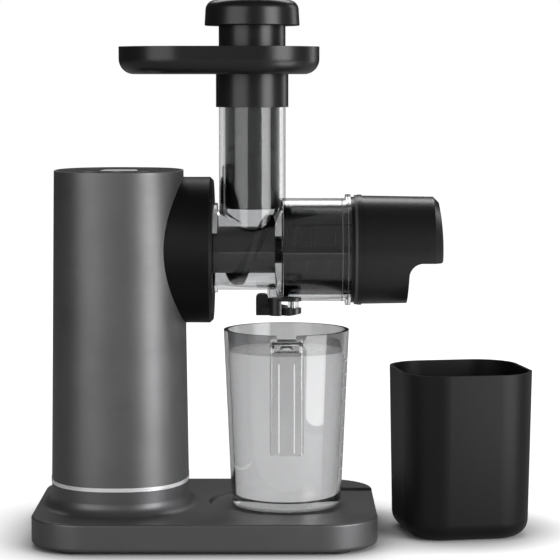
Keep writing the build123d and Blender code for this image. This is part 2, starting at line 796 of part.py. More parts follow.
def wheel(start, width, z, shaft, tooth_angle):
    """A large gear with a bore for its shaft and a web thinned between rim and hub."""
    hub, rim = shaft + GEAR_HUB_WALL, wheel_radius - GEAR_RIM
    with BuildPart() as gear:
        with BuildSketch(across(start, z)):
            add(gear_plan(WHEEL_TEETH, tooth_angle))
            Circle(shaft + PRESS_GAP, mode=Mode.SUBTRACT)
        extrude(amount=width)
        for x, way in ((start, 1), (start + width, -1)):
            with BuildSketch(across(x, z)):
                Circle(rim)
                Circle(hub, mode=Mode.SUBTRACT)
            extrude(amount=way * (width - GEAR_WEB) / 2, mode=Mode.SUBTRACT)
    return gear


half_tooth = 180 / WHEEL_TEETH
output_gear = wheel(output_face_start, OUTPUT_FACE, axis_z, OUTPUT_SHAFT_RADIUS, -90 + half_tooth)
idler_gear = wheel(input_face_start, INPUT_FACE, idler_z, IDLER_SEAT_RADIUS, -90 + half_tooth)

hex_start_x = socket_floor_x + HEX_FROM_FLOOR
hex_end_x = socket_floor_x + HEX_LENGTH
output_bush_back = gearbox_inner_back - BUSH_LENGTH
idler_bush_back = gearbox_inner_back - IDLER_BUSH_LENGTH
bush_front = cover_back - BUSH_PROUD

with BuildPart() as output_shaft:
    add(ring(output_bush_back, hex_start_x, OUTPUT_SHAFT_RADIUS, 0))
    with BuildSketch(across(hex_start_x, axis_z)):
        RegularPolygon(HEX_ACROSS_FLATS / 2, 6, major_radius=False)
    extrude(amount=hex_end_x - hex_start_x)

with BuildPart() as idler_pinion:
    with BuildSketch(across(output_face_start - GEAR_SIDE_GAP / 2, idler_z)):
        add(gear_plan(PINION_TEETH, 90))
    extrude(amount=OUTPUT_FACE + GEAR_SIDE_GAP / 2)
    add(ring(input_face_start, output_face_start, IDLER_SEAT_RADIUS, 0, idler_z))
    add(ring(idler_bush_back, gearbox_front - STATIC_GAP, IDLER_SHAFT_RADIUS, 0, idler_z))

screw_circle = wheel_room + GEARBOX_WALL / 2
cover_screw_spots = [(screw_circle * cos(radians(a)), screw_circle * sin(radians(a)))
                     for a in COVER_SCREW_ANGLES_HIGH]
cover_screw_spots += [(screw_circle * cos(radians(a)), screw_circle * sin(radians(a)) - centre_distance)
                      for a in COVER_SCREW_ANGLES_LOW]
mount_screw_spots = [(MOUNT_SCREW_RADIUS * cos(radians(a)), MOUNT_SCREW_RADIUS * sin(radians(a)))
                     for a in MOUNT_SCREW_ANGLES]
bush_seats = ((axis_z, OUTPUT_SHAFT_RADIUS), (idler_z, IDLER_SHAFT_RADIUS))

with BuildPart() as gearbox_housing:
    with BuildSketch(across(gearbox_inner_back, axis_z)):
        add(gearbox_plan(wheel_room + GEARBOX_WALL, wheel_room + GEARBOX_WALL, MOTOR_SEAT_RADIUS))
    extrude(amount=output_face_start + GEARBOX_THIN_WALL - gearbox_inner_back)
    with BuildSketch(across(gearbox_inner_back, axis_z)):
        add(gearbox_plan(wheel_room + GEARBOX_WALL, PINION_ROOM + GEARBOX_THIN_WALL))
    extrude(amount=gearbox_front - gearbox_inner_back)
    with BuildSketch(across(gearbox_inner_back, axis_z)):
        add(gearbox_plan(wheel_room, wheel_room, PINION_ROOM))
    extrude(amount=output_face_start - gearbox_inner_back, mode=Mode.SUBTRACT)
    with BuildSketch(across(gearbox_inner_back, axis_z)):
        add(gearbox_plan(wheel_room, PINION_ROOM))
    extrude(amount=cover_back - gearbox_inner_back, mode=Mode.SUBTRACT)
    for z, shaft in bush_seats:
        add(ring(cover_back, gearbox_front, shaft + BUSH_WALL + PRESS_GAP, 0, z), mode=Mode.SUBTRACT)
    with BuildSketch(across(cover_back, axis_z)):
        with Locations(*mount_screw_spots):
            Circle(SCREW_RADIUS + PRESS_GAP)
    extrude(amount=GEARBOX_PLATE, mode=Mode.SUBTRACT)
    with BuildSketch(across(gearbox_inner_back, axis_z)):
        with Locations(*cover_screw_spots):
            Circle(SCREW_RADIUS + PRESS_GAP)
    extrude(amount=COVER_SCREW_LENGTH - GEARBOX_PLATE, mode=Mode.SUBTRACT)

with BuildPart() as gearbox_cover:
    with BuildSketch(across(gearbox_back, axis_z)):
        add(gearbox_plan(wheel_room + GEARBOX_WALL, wheel_room + GEARBOX_WALL, MOTOR_SEAT_RADIUS))
        with Locations(*cover_screw_spots):
            Circle(SCREW_RADIUS + STATIC_GAP, mode=Mode.SUBTRACT)
        with Locations(*[(i * MOTOR_SCREW_Y, MOTOR_SCREW_Z - 2 * centre_distance) for i in (-1, 1)]):
            Circle(SCREW_RADIUS + STATIC_GAP, mode=Mode.SUBTRACT)
        with Locations((0, -2 * centre_distance)):
            Circle(MOTOR_SHAFT_RADIUS + MOTOR_SHAFT_ROOM, mode=Mode.SUBTRACT)
    extrude(amount=GEARBOX_PLATE)
    with BuildSketch(across(gearbox_back, axis_z)):
        with Locations(*cover_screw_spots):
            Circle(SCREW_HEAD_RADIUS + STATIC_GAP)
    extrude(amount=SCREW_HEAD_HEIGHT, mode=Mode.SUBTRACT)
    for (z, shaft), back in zip(bush_seats, (output_bush_back, idler_bush_back)):
        add(ring(back, gearbox_back, shaft + BUSH_WALL + HUB_WALL, 0, z))
        add(ring(back, gearbox_inner_back, shaft + BUSH_WALL + PRESS_GAP, 0, z), mode=Mode.SUBTRACT)

with BuildPart() as gearbox_screws:
    for y, z in cover_screw_spots:
        add(disc_screw(gearbox_back, y, axis_z + z, COVER_SCREW_LENGTH, (1, 0, 0)))

with BuildPart() as output_bushes:
    for start in (output_bush_back, bush_front):
        add(ring(start, start + BUSH_LENGTH, OUTPUT_SHAFT_RADIUS + BUSH_WALL,
                 OUTPUT_SHAFT_RADIUS + RUNNING_FIT))

with BuildPart() as idler_bushes:
    for start, end in ((idler_bush_back, gearbox_inner_back), (bush_front, gearbox_front)):
        add(ring(start, end, IDLER_SHAFT_RADIUS + BUSH_WALL, IDLER_SHAFT_RADIUS + RUNNING_FIT, idler_z))

# === drum mount =================================================================
lug_angles = [360 * i / LUG_COUNT for i in range(LUG_COUNT)]
groove_radius = DRUM_SPIGOT_RADIUS + LUG_DEPTH + LUG_CLEARANCE
groove_start = socket_floor_x + LUG_SEAT_DEPTH
groove_end = face_x - SOCKET_LIP


def behind_plate(form):
    """The share of a form that lies behind the mount's plate."""
    with BuildPart() as behind:
        add(form)
        with BuildSketch(across(gearbox_front, axis_z)):
            Rectangle(4 * MOUNT_RADIUS, 8 * MOUNT_RADIUS)
        extrude(amount=-4 * MOUNT_RADIUS, mode=Mode.INTERSECT)
    return behind.part


with BuildPart() as drum_mount:
    add(mount_form())
    chamfer(drum_mount.faces().sort_by(Axis.X)[-1].edges(), MOUNT_CHAMFER)
    add(behind_plate(mount_form(MOUNT_SKIN)), mode=Mode.SUBTRACT)
    add(behind_plate(tower_body(shell_bottom, panel_bottom - LEDGE_THICKNESS, TOWER_WALL)), mode=Mode.SUBTRACT)
    add(ring(socket_floor_x, face_x, DRUM_SPIGOT_RADIUS + SOCKET_GAP, 0), mode=Mode.SUBTRACT)
    add(ring(groove_start, groove_end, groove_radius, 0), mode=Mode.SUBTRACT)
    for angle in lug_angles:
        add(sector(groove_end, face_x, groove_radius, 0, angle - DRUM_TWIST, LUG_ARC + LUG_ARC_GAP),
            mode=Mode.SUBTRACT)
    add(ring(gearbox_front, socket_floor_x, SEAL_RADIUS + PRESS_GAP, 0), mode=Mode.SUBTRACT)
    with BuildSketch(across(gearbox_front, axis_z)):
        with Locations(*mount_screw_spots):
            Circle(SCREW_RADIUS + STATIC_GAP)
    extrude(amount=socket_floor_x - gearbox_front, mode=Mode.SUBTRACT)
    with BuildSketch(across(socket_floor_x, axis_z)):
        with Locations(*mount_screw_spots):
            Circle(SCREW_HEAD_RADIUS + STATIC_GAP)
    extrude(amount=-SCREW_HEAD_HEIGHT, mode=Mode.SUBTRACT)

with BuildPart() as mount_screws:
    for y, z in mount_screw_spots:
        add(disc_screw(socket_floor_x, y, axis_z + z, socket_floor_x - cover_back, (-1, 0, 0)))

with BuildPart() as shaft_seal:
    add(ring(socket_floor_x - SEAL_THICKNESS, socket_floor_x - STATIC_GAP, SEAL_RADIUS,
             OUTPUT_SHAFT_RADIUS + RUNNING_FIT))

# === motor ======================================================================
motor_screw_spots = [(-MOTOR_SCREW_Y, MOTOR_SCREW_Z), (MOTOR_SCREW_Y, MOTOR_SCREW_Z)]
can_end = gearbox_back - BELL_THICKNESS
can_start = can_end - MOTOR_LENGTH
motor_back = can_start - BELL_THICKNESS
commutator_end = can_end - BEARING_LAND - MOTOR_END_GAP
commutator_start = commutator_end - COMMUTATOR_LENGTH
armature_end = commutator_start - COMMUTATOR_GAP
armature_start = armature_end - ARMATURE_LENGTH
fan_start = can_start + BEARING_LAND + FAN_GAP
magnet_inner = ARMATURE_RADIUS + MAGNET_GAP
magnet_outer = MOTOR_RADIUS - MOTOR_WALL - PRESS_GAP

with BuildPart() as motor_can:
    add(ring(can_start, can_end, MOTOR_RADIUS, MOTOR_RADIUS - MOTOR_WALL, motor_z))

with BuildPart() as motor_magnets:
    for angle in (0, 180):
        add(sector(armature_start, armature_end, magnet_outer, magnet_inner, angle, MAGNET_ARC, motor_z))


def bearing_span(plate_start, inward):
    """Where a bearing lies along X: flush with the hub inside its end plate."""
    inner_face = plate_start + BELL_THICKNESS if inward > 0 else plate_start
    hub_face = inner_face + inward * BEARING_LAND
    return sorted((hub_face, hub_face - inward * BEARING_WIDTH))


def end_bell(plate_start, inward, screw_spots=()):
    """A motor end plate with a bearing hub on its inner side and holes for screws."""
    seat_start, seat_end = bearing_span(plate_start, inward)
    low, high = min(plate_start, seat_start), max(plate_start + BELL_THICKNESS, seat_end)
    with BuildPart() as bell:
        add(ring(plate_start, plate_start + BELL_THICKNESS, MOTOR_RADIUS, 0, motor_z))
        add(ring(low, high, BEARING_RADIUS + HUB_WALL, 0, motor_z))
        add(ring(seat_start, seat_end, BEARING_RADIUS + PRESS_GAP, 0, motor_z), mode=Mode.SUBTRACT)
        add(ring(low, high, MOTOR_SHAFT_RADIUS + MOTOR_SHAFT_ROOM, 0, motor_z), mode=Mode.SUBTRACT)
        if screw_spots:
            with BuildSketch(across(plate_start, motor_z)):
                with Locations(*screw_spots):
                    Circle(SCREW_RADIUS + PRESS_GAP)
            extrude(amount=BELL_THICKNESS, mode=Mode.SUBTRACT)
    return bell


motor_front_bell = end_bell(can_end, -1, motor_screw_spots)
motor_rear_bell = end_bell(motor_back, 1)

with BuildPart() as motor_bearings:
    for plate_start, inward in ((can_end, -1), (motor_back, 1)):
        seat_start, seat_end = bearing_span(plate_start, inward)
        add(ring(seat_start, seat_end, BEARING_RADIUS, MOTOR_SHAFT_RADIUS + RUNNING_FIT, motor_z))

with BuildPart() as motor_screws:
    for y, z in motor_screw_spots:
        add(disc_screw(gearbox_inner_back + SCREW_HEAD_HEIGHT, y, motor_z + z,
                       SCREW_HEAD_HEIGHT + GEARBOX_PLATE + BELL_THICKNESS, (-1, 0, 0)))

with BuildPart() as motor_brushes:
    with BuildSketch(across(can_end, motor_z)):
        with Locations(*[(i * (COMMUTATOR_RADIUS + BRUSH_GAP + BRUSH_LENGTH / 2), 0) for i in (-1, 1)]):
            Rectangle(BRUSH_LENGTH, BRUSH_SIZE)
    extrude(amount=commutator_start - can_end)
    add(ring(can_end - BEARING_LAND, can_end, BEARING_RADIUS + HUB_WALL + STATIC_GAP, 0, motor_z),
        mode=Mode.SUBTRACT)

with BuildPart() as motor_shaft:
    add(ring(motor_back + MOTOR_END_GAP, input_face_end + MOTOR_END_GAP, MOTOR_SHAFT_RADIUS, 0, motor_z))

with BuildPart() as motor_pinion:
    with BuildSketch(across(input_face_start, motor_z)):
        add(gear_plan(PINION_TEETH, 90))
        Circle(MOTOR_SHAFT_RADIUS + PRESS_GAP, mode=Mode.SUBTRACT)
    extrude(amount=INPUT_FACE)


def armature_slots(width, depth):
    """The armature's slots, open at its rim."""
    with BuildSketch() as plan:
        with PolarLocations(ARMATURE_RADIUS - depth / 2, ARMATURE_SLOTS):
            Rectangle(depth, width)
    return plan.sketch


with BuildPart() as armature_core:
    with BuildSketch(across(armature_start, motor_z)):
        Circle(ARMATURE_RADIUS)
        add(armature_slots(ARMATURE_SLOT_WIDTH, ARMATURE_SLOT_DEPTH), mode=Mode.SUBTRACT)
        Circle(MOTOR_SHAFT_RADIUS + PRESS_GAP, mode=Mode.SUBTRACT)
    extrude(amount=ARMATURE_LENGTH)

with BuildPart() as armature_windings:
    with BuildSketch(across(armature_start, motor_z)):
        add(armature_slots(ARMATURE_SLOT_WIDTH - 2 * PRESS_GAP, ARMATURE_SLOT_DEPTH - PRESS_GAP))
        Circle(ARMATURE_RADIUS - WINDING_SUNK, mode=Mode.INTERSECT)
    extrude(amount=ARMATURE_LENGTH)
    for x in (armature_start - WINDING_END, armature_end):
        add(ring(x, x + WINDING_END, ARMATURE_RADIUS - WINDING_SUNK,
                 MOTOR_SHAFT_RADIUS + WINDING_ROOM, motor_z))

with BuildPart() as commutator:
    add(ring(commutator_start, commutator_end, COMMUTATOR_RADIUS, MOTOR_SHAFT_RADIUS + PRESS_GAP, motor_z))

with BuildPart() as motor_fan:
    add(ring(fan_start, fan_start + FAN_THICKNESS, MOTOR_SHAFT_RADIUS + HUB_WALL,
             MOTOR_SHAFT_RADIUS + PRESS_GAP, motor_z))
    add(ring(fan_start, fan_start + FAN_DISC, FAN_RADIUS, MOTOR_SHAFT_RADIUS + PRESS_GAP, motor_z))
    with BuildSketch(across(fan_start, motor_z)):
        with PolarLocations(FAN_RADIUS - FAN_BLADE_INSET - FAN_BLADE_LENGTH / 2, FAN_BLADES):
            Rectangle(FAN_BLADE_LENGTH, FAN_BLADE_WIDTH)
    extrude(amount=FAN_THICKNESS)

cradle_x = (can_start + can_end) / 2
with BuildPart() as motor_cradle:
    with BuildSketch(over(cradle_x, deck_top)):
        Rectangle(CRADLE_LENGTH, CRADLE_WIDTH)
    extrude(amount=motor_z - CRADLE_SADDLE - deck_top)
    add(ring(can_start, can_end, MOTOR_RADIUS + CRADLE_PAD, 0, motor_z), mode=Mode.SUBTRACT)
    with BuildSketch(side(deck_top, CRADLE_WIDTH / 2)):
        with Locations((cradle_x, (motor_z - MOTOR_RADIUS - deck_top) / 2)):
            RectangleRounded(CRADLE_LENGTH - 2 * CRADLE_WINDOW_SIDE,
                             motor_z - MOTOR_RADIUS - deck_top - 2 * CRADLE_WINDOW_EDGE, CRADLE_WINDOW_CORNER)
    extrude(amount=CRADLE_WIDTH, mode=Mode.SUBTRACT)

with BuildPart() as cradle_pad:
    with BuildSketch(over(cradle_x, deck_top)):
        Rectangle(CRADLE_LENGTH, CRADLE_WIDTH)
    extrude(amount=motor_z - CRADLE_SADDLE - deck_top)
    add(ring(can_start, can_end, MOTOR_RADIUS + CRADLE_PAD, 0, motor_z), mode=Mode.INTERSECT)
    add(ring(can_start, can_end, MOTOR_RADIUS + PRESS_GAP, 0, motor_z), mode=Mode.SUBTRACT)

with BuildPart() as power_board:
    with BuildSketch(side(deck_top, POWER_BOARD_Y)):
        with Locations((tower_x, POWER_BOARD_HEIGHT / 2)):
            Rectangle(POWER_BOARD_WIDTH, POWER_BOARD_HEIGHT)
    extrude(amount=-BOARD_THICKNESS)
    # two relays and a capacitor stand on the board's inner side
    with BuildSketch(side(deck_top, POWER_BOARD_Y)):
        with Locations((tower_x - RELAY_X, RELAY_Z), (tower_x + RELAY_X, RELAY_Z)):
            Rectangle(RELAY_WIDTH, RELAY_HEIGHT)
        with Locations((tower_x, CAPACITOR_Z)):
            Circle(CAPACITOR_RADIUS)
    extrude(amount=BOARD_PART_DEPTH)

with BuildPart() as board_rails:
    for x in (-POWER_BOARD_WIDTH / 2, POWER_BOARD_WIDTH / 2):
        with BuildSketch(over(tower_x + x, deck_top)):
            with Locations((0, POWER_BOARD_Y + BOARD_THICKNESS / 2)):
                Rectangle(RAIL_SIZE, RAIL_SIZE)
        extrude(amount=RAIL_HEIGHT)
    with BuildSketch(side(deck_top, POWER_BOARD_Y + BOARD_THICKNESS + PRESS_GAP)):
        with Locations((tower_x, POWER_BOARD_HEIGHT / 2)):
            Rectangle(POWER_BOARD_WIDTH + 2 * PRESS_GAP, POWER_BOARD_HEIGHT)
    extrude(amount=BOARD_THICKNESS + 2 * PRESS_GAP, mode=Mode.SUBTRACT)

# === auger ======================================================================
flight_tip_radius = feed_bore - AUGER_CLEARANCE
squeeze_tip_radius = STRAINER_RADIUS - STRAINER_WALL - MESH_WALL - MESH_GAP - AUGER_CLEARANCE
auger_back = socket_floor_x + AUGER_FROM_FLOOR
squeeze_start_x = step_end_x + SQUEEZE_FROM_STEP
squeeze_end_x = strainer_end - SQUEEZE_SHORT
tip_end_x = spider_start + TIP_BUSH_LENGTH - TIP_END_GAP
flight_start_x = face_x + FLIGHT_BACK
flight_length = feed_end_x - FLIGHT_SHORT - flight_start_x
squeeze_flight_length = squeeze_end_x - squeeze_start_x - 2 * SQUEEZE_FLIGHT_INSET


def flight(pitch, length, root_radius, tip_radius, root_width, tip_width):
    """A left-handed screw flight about +Z, starting on +X at the origin's height."""
    with BuildPart() as blade:
        with BuildLine() as rise:
            Helix(pitch=pitch, height=length, radius=root_radius, lefthand=True)
        with BuildSketch(Plane(origin=rise.line @ 0, x_dir=(1, 0, 0), z_dir=rise.line % 0)):
            high = tip_radius - root_radius
            Polygon((-FLIGHT_SUNK, -root_width / 2), (-FLIGHT_SUNK, root_width / 2), (high, tip_width / 2),
                    (high, -tip_width / 2), align=None)
        sweep(path=rise.line, is_frenet=True)
    return blade.part


def along_axis(x, turn):
    """Where a +Z part goes so that it lies along the drive axis from x, turned about it."""
    return Plane(origin=(x, 0, axis_z), x_dir=(0, sin(radians(turn)), -cos(radians(turn))), z_dir=(1, 0, 0))


flight_turn = 360 * (FLIGHT_BOTTOM_X - FLIGHT_BACK) / FLIGHT_PITCH
with BuildPart() as auger:
    add(turned([(auger_back, 0), (auger_back, AUGER_HUB_RADIUS), (feed_end_x, AUGER_HUB_RADIUS),
                (feed_end_x, NECK_RADIUS), (squeeze_start_x, NECK_RADIUS),
                (squeeze_start_x, SQUEEZE_HUB_START), (squeeze_end_x, SQUEEZE_HUB_END),
                (squeeze_end_x + SQUEEZE_SHOULDER, TIP_RADIUS), (tip_end_x, TIP_RADIUS), (tip_end_x, 0)]))
    add(flight(FLIGHT_PITCH, flight_length, AUGER_HUB_RADIUS, flight_tip_radius, FLIGHT_ROOT, FLIGHT_TIP)
        .moved(along_axis(flight_start_x, flight_turn).location))
    add(flight(SQUEEZE_PITCH, squeeze_flight_length, SQUEEZE_HUB_START - FLIGHT_SUNK, squeeze_tip_radius,
               SQUEEZE_ROOT, SQUEEZE_TIP)
        .moved(along_axis(squeeze_start_x + SQUEEZE_FLIGHT_INSET, 0).location))
    with BuildSketch(across(auger_back, axis_z)):
        RegularPolygon(HEX_ACROSS_FLATS / 2 + HEX_CLEARANCE, 6, major_radius=False)
    extrude(amount=hex_end_x - auger_back + HEX_END_GAP, mode=Mode.SUBTRACT)

# === drum =======================================================================
cone_shift = DRUM_WALL / 4
spigot_start = groove_start + LUG_SIDE_GAP
lug_plate_top = axis_z - CLEVIS_TOP_BELOW_AXIS - CLEVIS_BAR - STOP_GAP
lug_plate_bottom = lug_plate_top - LUG_PLATE
clevis_x = spout_x + CLEVIS_X
groove_x = ring_end_x + GROOVE_FROM_RING

with BuildPart() as drum_housing:
    add(turned([(spigot_start, 0), (spigot_start, DRUM_SPIGOT_RADIUS), (collar_x, DRUM_SPIGOT_RADIUS),
                (collar_x + COLLAR_THICKNESS, DRUM_SPIGOT_RADIUS), (collar_x + COLLAR_THICKNESS, FEED_RADIUS),
                (feed_end_x, FEED_RADIUS), (step_end_x, STRAIN_RADIUS), (strain_end_x, STRAIN_RADIUS),
                (strain_end_x, BAYONET_RADIUS), (ring_end_x, BAYONET_RADIUS),
                (ring_end_x, FRONT_SPIGOT_RADIUS), (drum_end_x, FRONT_SPIGOT_RADIUS), (drum_end_x, 0)]))
    # feed chute
    with BuildSketch(over(chute_x, axis_z)):
        Circle(CHUTE_RADIUS)
    extrude(amount=chute_top - axis_z)
    # lock tab over the collar
    with BuildSketch(across(collar_x, axis_z)):
        Circle(LOCK_TAB_RADIUS)
        with Locations((0, LOCK_TAB_LOW + LOCK_TAB_RADIUS / 2)):
            Rectangle(2 * LOCK_TAB_HALF_WIDTH, LOCK_TAB_RADIUS, mode=Mode.INTERSECT)
    extrude(amount=COLLAR_THICKNESS)
    # spout under the step
    with BuildSketch(over(spout_x, spout_bottom)):
        Circle(SPOUT_RADIUS)
    extrude(amount=SPOUT_BELOW_AXIS)
    # hinge lug for the drip stop
    with BuildSketch(over(clevis_x, lug_plate_bottom)):
        with Locations((0, CLEVIS_Y)):
            Circle(LUG_PLATE_WIDTH / 2)
        with Locations((0, CLEVIS_Y / 2)):
            Rectangle(LUG_PLATE_WIDTH, -CLEVIS_Y)
    extrude(amount=LUG_PLATE)
    # bore
    add(turned([(groove_start, 0), (groove_start, feed_bore), (feed_end_x + cone_shift, feed_bore),
                (step_end_x + cone_shift, strain_bore), (drum_end_x, strain_bore), (drum_end_x, 0)]),
        mode=Mode.SUBTRACT)
    with BuildSketch(over(chute_x, axis_z)):
        Circle(chute_bore)
    extrude(amount=chute_top - axis_z, mode=Mode.SUBTRACT)
    with BuildSketch(over(spout_x, spout_bottom)):
        Circle(SPOUT_BORE_RADIUS)
    extrude(amount=SPOUT_BELOW_AXIS - NECK_RADIUS, mode=Mode.SUBTRACT)
    # groove and entry slots for the front cap's lugs
    add(ring(groove_x, groove_x + GROOVE_LENGTH, FRONT_SPIGOT_RADIUS + MARGIN,
             FRONT_SPIGOT_RADIUS - GROOVE_DEPTH), mode=Mode.SUBTRACT)
    for angle in lug_angles:
        add(sector(groove_x, drum_end_x, FRONT_SPIGOT_RADIUS + MARGIN, FRONT_SPIGOT_RADIUS - GROOVE_DEPTH,
                   angle + CAP_TWIST, CAP_LUG_ARC + LUG_ARC_GAP), mode=Mode.SUBTRACT)
    # bayonet lugs at the back
    for angle in lug_angles:
        add(sector(spigot_start, spigot_start + LUG_LENGTH, DRUM_SPIGOT_RADIUS + LUG_DEPTH,
                   DRUM_SPIGOT_RADIUS - MARGIN, angle, LUG_ARC))
    # pin hole through the hinge lug
    with BuildSketch(Plane(origin=(clevis_x, CLEVIS_Y, lug_plate_bottom))):
        Circle(PIN_RADIUS + PRESS_GAP)
    extrude(amount=LUG_PLATE, mode=Mode.SUBTRACT)

ring_front = strainer_end - STRAINER_RING
with BuildPart() as strainer_frame:
    add(ring(strainer_start, strainer_end, STRAINER_RADIUS, STRAINER_RADIUS - STRAINER_WALL))
    add(ring(ring_front, strainer_end, strain_bore - STRAINER_SEAT_GAP, STRAINER_RADIUS - STRAINER_WALL))
    add(ring(strainer_start, strainer_start + STRAINER_RING, strain_bore - STRAINER_SEAT_GAP,
             STRAINER_RADIUS - STRAINER_WALL))
    for i in range(STRAINER_WINDOWS):
        angle = (i + 0.5) * 360 / STRAINER_WINDOWS
        add(sector(strainer_start + STRAINER_RING + STRAINER_WINDOW_EDGE, ring_front - STRAINER_WINDOW_EDGE,
                   STRAINER_RADIUS + MARGIN, STRAINER_RADIUS - STRAINER_WALL - MARGIN, angle,
                   360 / STRAINER_WINDOWS - STRAINER_RIB_ARC), mode=Mode.SUBTRACT)

mesh_outer = STRAINER_RADIUS - STRAINER_WALL - MESH_GAP
with BuildPart() as strainer_mesh:
    add(ring(strainer_start, strainer_end, mesh_outer, mesh_outer - MESH_WALL))

with BuildPart() as drip_stop_pin:
    with BuildSketch(Plane(origin=(clevis_x, CLEVIS_Y, lug_plate_bottom - STOP_GAP - 2 * CLEVIS_BAR))):
        Circle(PIN_RADIUS)
    extrude(amount=LUG_PLATE + 2 * STOP_GAP + 3 * CLEVIS_BAR)

# === drip stop ==================================================================
bar_top = axis_z - CLEVIS_TOP_BELOW_AXIS
arm_top = lug_plate_bottom - STOP_GAP
cap_top = spout_bottom - STOP_GAP - STOP_SEAL_THICKNESS
thumb_x = spout_x - STOP_THUMB_LEFT + STOP_THUMB_WIDTH / 2
cheek_x = clevis_x - 2 * CLEVIS_RADIUS

with BuildPart() as drip_stop:
    # sealing cup under the spout, joined to the thumb piece beside it
    with BuildSketch(over(0, stop_bottom)):
        with Locations((spout_x, 0)):
            Circle(STOP_CAP_RADIUS)
        with Locations((thumb_x, STOP_THUMB_Y)):
            Circle(STOP_THUMB_WIDTH / 2)
        make_hull()
    extrude(amount=cap_top - stop_bottom)
    chamfer(drip_stop.faces().sort_by(Axis.Z)[-1].edges(), STOP_CAP_CHAMFER)
    # arm from the cup and the thumb piece out to the pin
    with BuildSketch(over(0, stop_bottom)):
        with Locations((spout_x, 0)):
            Circle(STOP_CAP_RADIUS)
        with Locations((thumb_x, STOP_THUMB_Y)):
            Circle(STOP_THUMB_WIDTH / 2)
        with Locations((clevis_x, CLEVIS_Y)):
            Circle(CLEVIS_RADIUS)
        make_hull()
    extrude(amount=arm_top - stop_bottom)
    # thumb piece beside the spout
    with BuildSketch(side(stop_bottom, STOP_THUMB_Y + STOP_THUMB_DEPTH / 2)):
        with Locations((thumb_x, (axis_z - STOP_THUMB_TOP - stop_bottom) / 2)):
            RectangleRounded(STOP_THUMB_WIDTH, axis_z - STOP_THUMB_TOP - stop_bottom, STOP_THUMB_ROUND)
    extrude(amount=STOP_THUMB_DEPTH)
    # bar over the drum's hinge lug, carried by a cheek beside it
    with BuildSketch(over(0, bar_top - CLEVIS_BAR)):
        with Locations((clevis_x, CLEVIS_Y), (cheek_x, CLEVIS_Y)):
            Circle(CLEVIS_RADIUS)
        make_hull()
    extrude(amount=CLEVIS_BAR)
    with BuildSketch(over(0, stop_bottom)):
        with Locations((cheek_x, CLEVIS_Y)):
            Circle(CLEVIS_RADIUS)
        with Locations((cheek_x + CLEVIS_RADIUS, CLEVIS_Y)):
            Rectangle(CLEVIS_RADIUS, 2 * CLEVIS_RADIUS, mode=Mode.SUBTRACT)
    extrude(amount=bar_top - stop_bottom)
    # the underside rises from the cup to the pin
    with BuildSketch(side(stop_bottom, -CLEVIS_Y)):
        Polygon((spout_x, -MARGIN), (spout_x, 0), (clevis_x + CLEVIS_RADIUS, STOP_RISE),
                (clevis_x + 2 * CLEVIS_RADIUS, STOP_RISE), (clevis_x + 2 * CLEVIS_RADIUS, -MARGIN), align=None)
    extrude(amount=-3 * CLEVIS_Y, mode=Mode.SUBTRACT)
    # and from the cup towards the user
    with BuildSketch(Plane(origin=(spout_x, 0, stop_bottom), x_dir=(0, -1, 0), z_dir=(-1, 0, 0))):
        Polygon((STOP_CAP_RADIUS, -MARGIN), (STOP_CAP_RADIUS, 0), (-CLEVIS_Y, STOP_FRONT_RISE),
                (-2 * CLEVIS_Y, STOP_FRONT_RISE), (-2 * CLEVIS_Y, -MARGIN), align=None)
    extrude(amount=-2 * CLEVIS_Y, both=True, mode=Mode.SUBTRACT)
    with BuildSketch(over(clevis_x, stop_bottom)):
        with Locations((0, CLEVIS_Y)):
            Circle(PIN_RADIUS + RUNNING_FIT)
    extrude(amount=bar_top - stop_bottom, mode=Mode.SUBTRACT)

with BuildPart() as drip_stop_seal:
    with BuildSketch(over(spout_x, cap_top)):
        Circle(STOP_SEAL_RADIUS)
    extrude(amount=STOP_SEAL_THICKNESS)

# === front cap ==================================================================
outlet_x = cap_end - OUTLET_LENGTH
outlet_z = -OUTLET_BELOW_AXIS


def cap_form(inset, start):
    """The cap's outer form about the drive axis, or its inner form when moved in."""
    shoulder = CAP_END_RADIUS - inset
    bevel = CAP_BEVEL_RADIUS - inset
    with BuildPart() as form:
        with BuildSketch(side(axis_z)):
            with BuildLine():
                Polyline((start, 0), (start, CAP_RADIUS - inset), (cap_end - CAP_BEVEL_X - inset / 2, shoulder),
                         (cap_end - CAP_BEVEL_X + CAP_BEVEL_LENGTH - inset, bevel))
                ThreePointArc((cap_end - CAP_BEVEL_X + CAP_BEVEL_LENGTH - inset, bevel),
                              (cap_end - inset - CAP_DOME, bevel / 2), (cap_end - inset, 0))
                Line((cap_end - inset, 0), (start, 0))
            make_face()
        revolve(axis=Axis((0, 0, axis_z), (1, 0, 0)))
    return form.part


with BuildPart() as outlet_cut:
    with BuildSketch(side(axis_z, 2 * CAP_RADIUS)) as outlet_side:
        Polygon((outlet_x - OUTLET_LEAN, -2 * CAP_RADIUS), (outlet_x, outlet_z), (cap_end + MARGIN, outlet_z),
                (cap_end + MARGIN, -2 * CAP_RADIUS), align=None)
        fillet(outlet_side.vertices().sort_by_distance((outlet_x, outlet_z, 0))[0], OUTLET_ROUND)
    extrude(amount=4 * CAP_RADIUS)

with BuildPart() as outlet_wall:
    with BuildSketch(side(axis_z, 2 * CAP_RADIUS)):
        Polygon((outlet_x - OUTLET_LEAN, -2 * CAP_RADIUS), (outlet_x, -OUTLET_WALL_TOP),
                (outlet_x - CAP_WALL, -OUTLET_WALL_TOP),
                (outlet_x - CAP_WALL - OUTLET_LEAN, -2 * CAP_RADIUS), align=None)
    extrude(amount=4 * CAP_RADIUS)
    add(ring(cap_start, cap_end, CAP_BORE_RADIUS + CAP_BOND, 0), mode=Mode.INTERSECT)

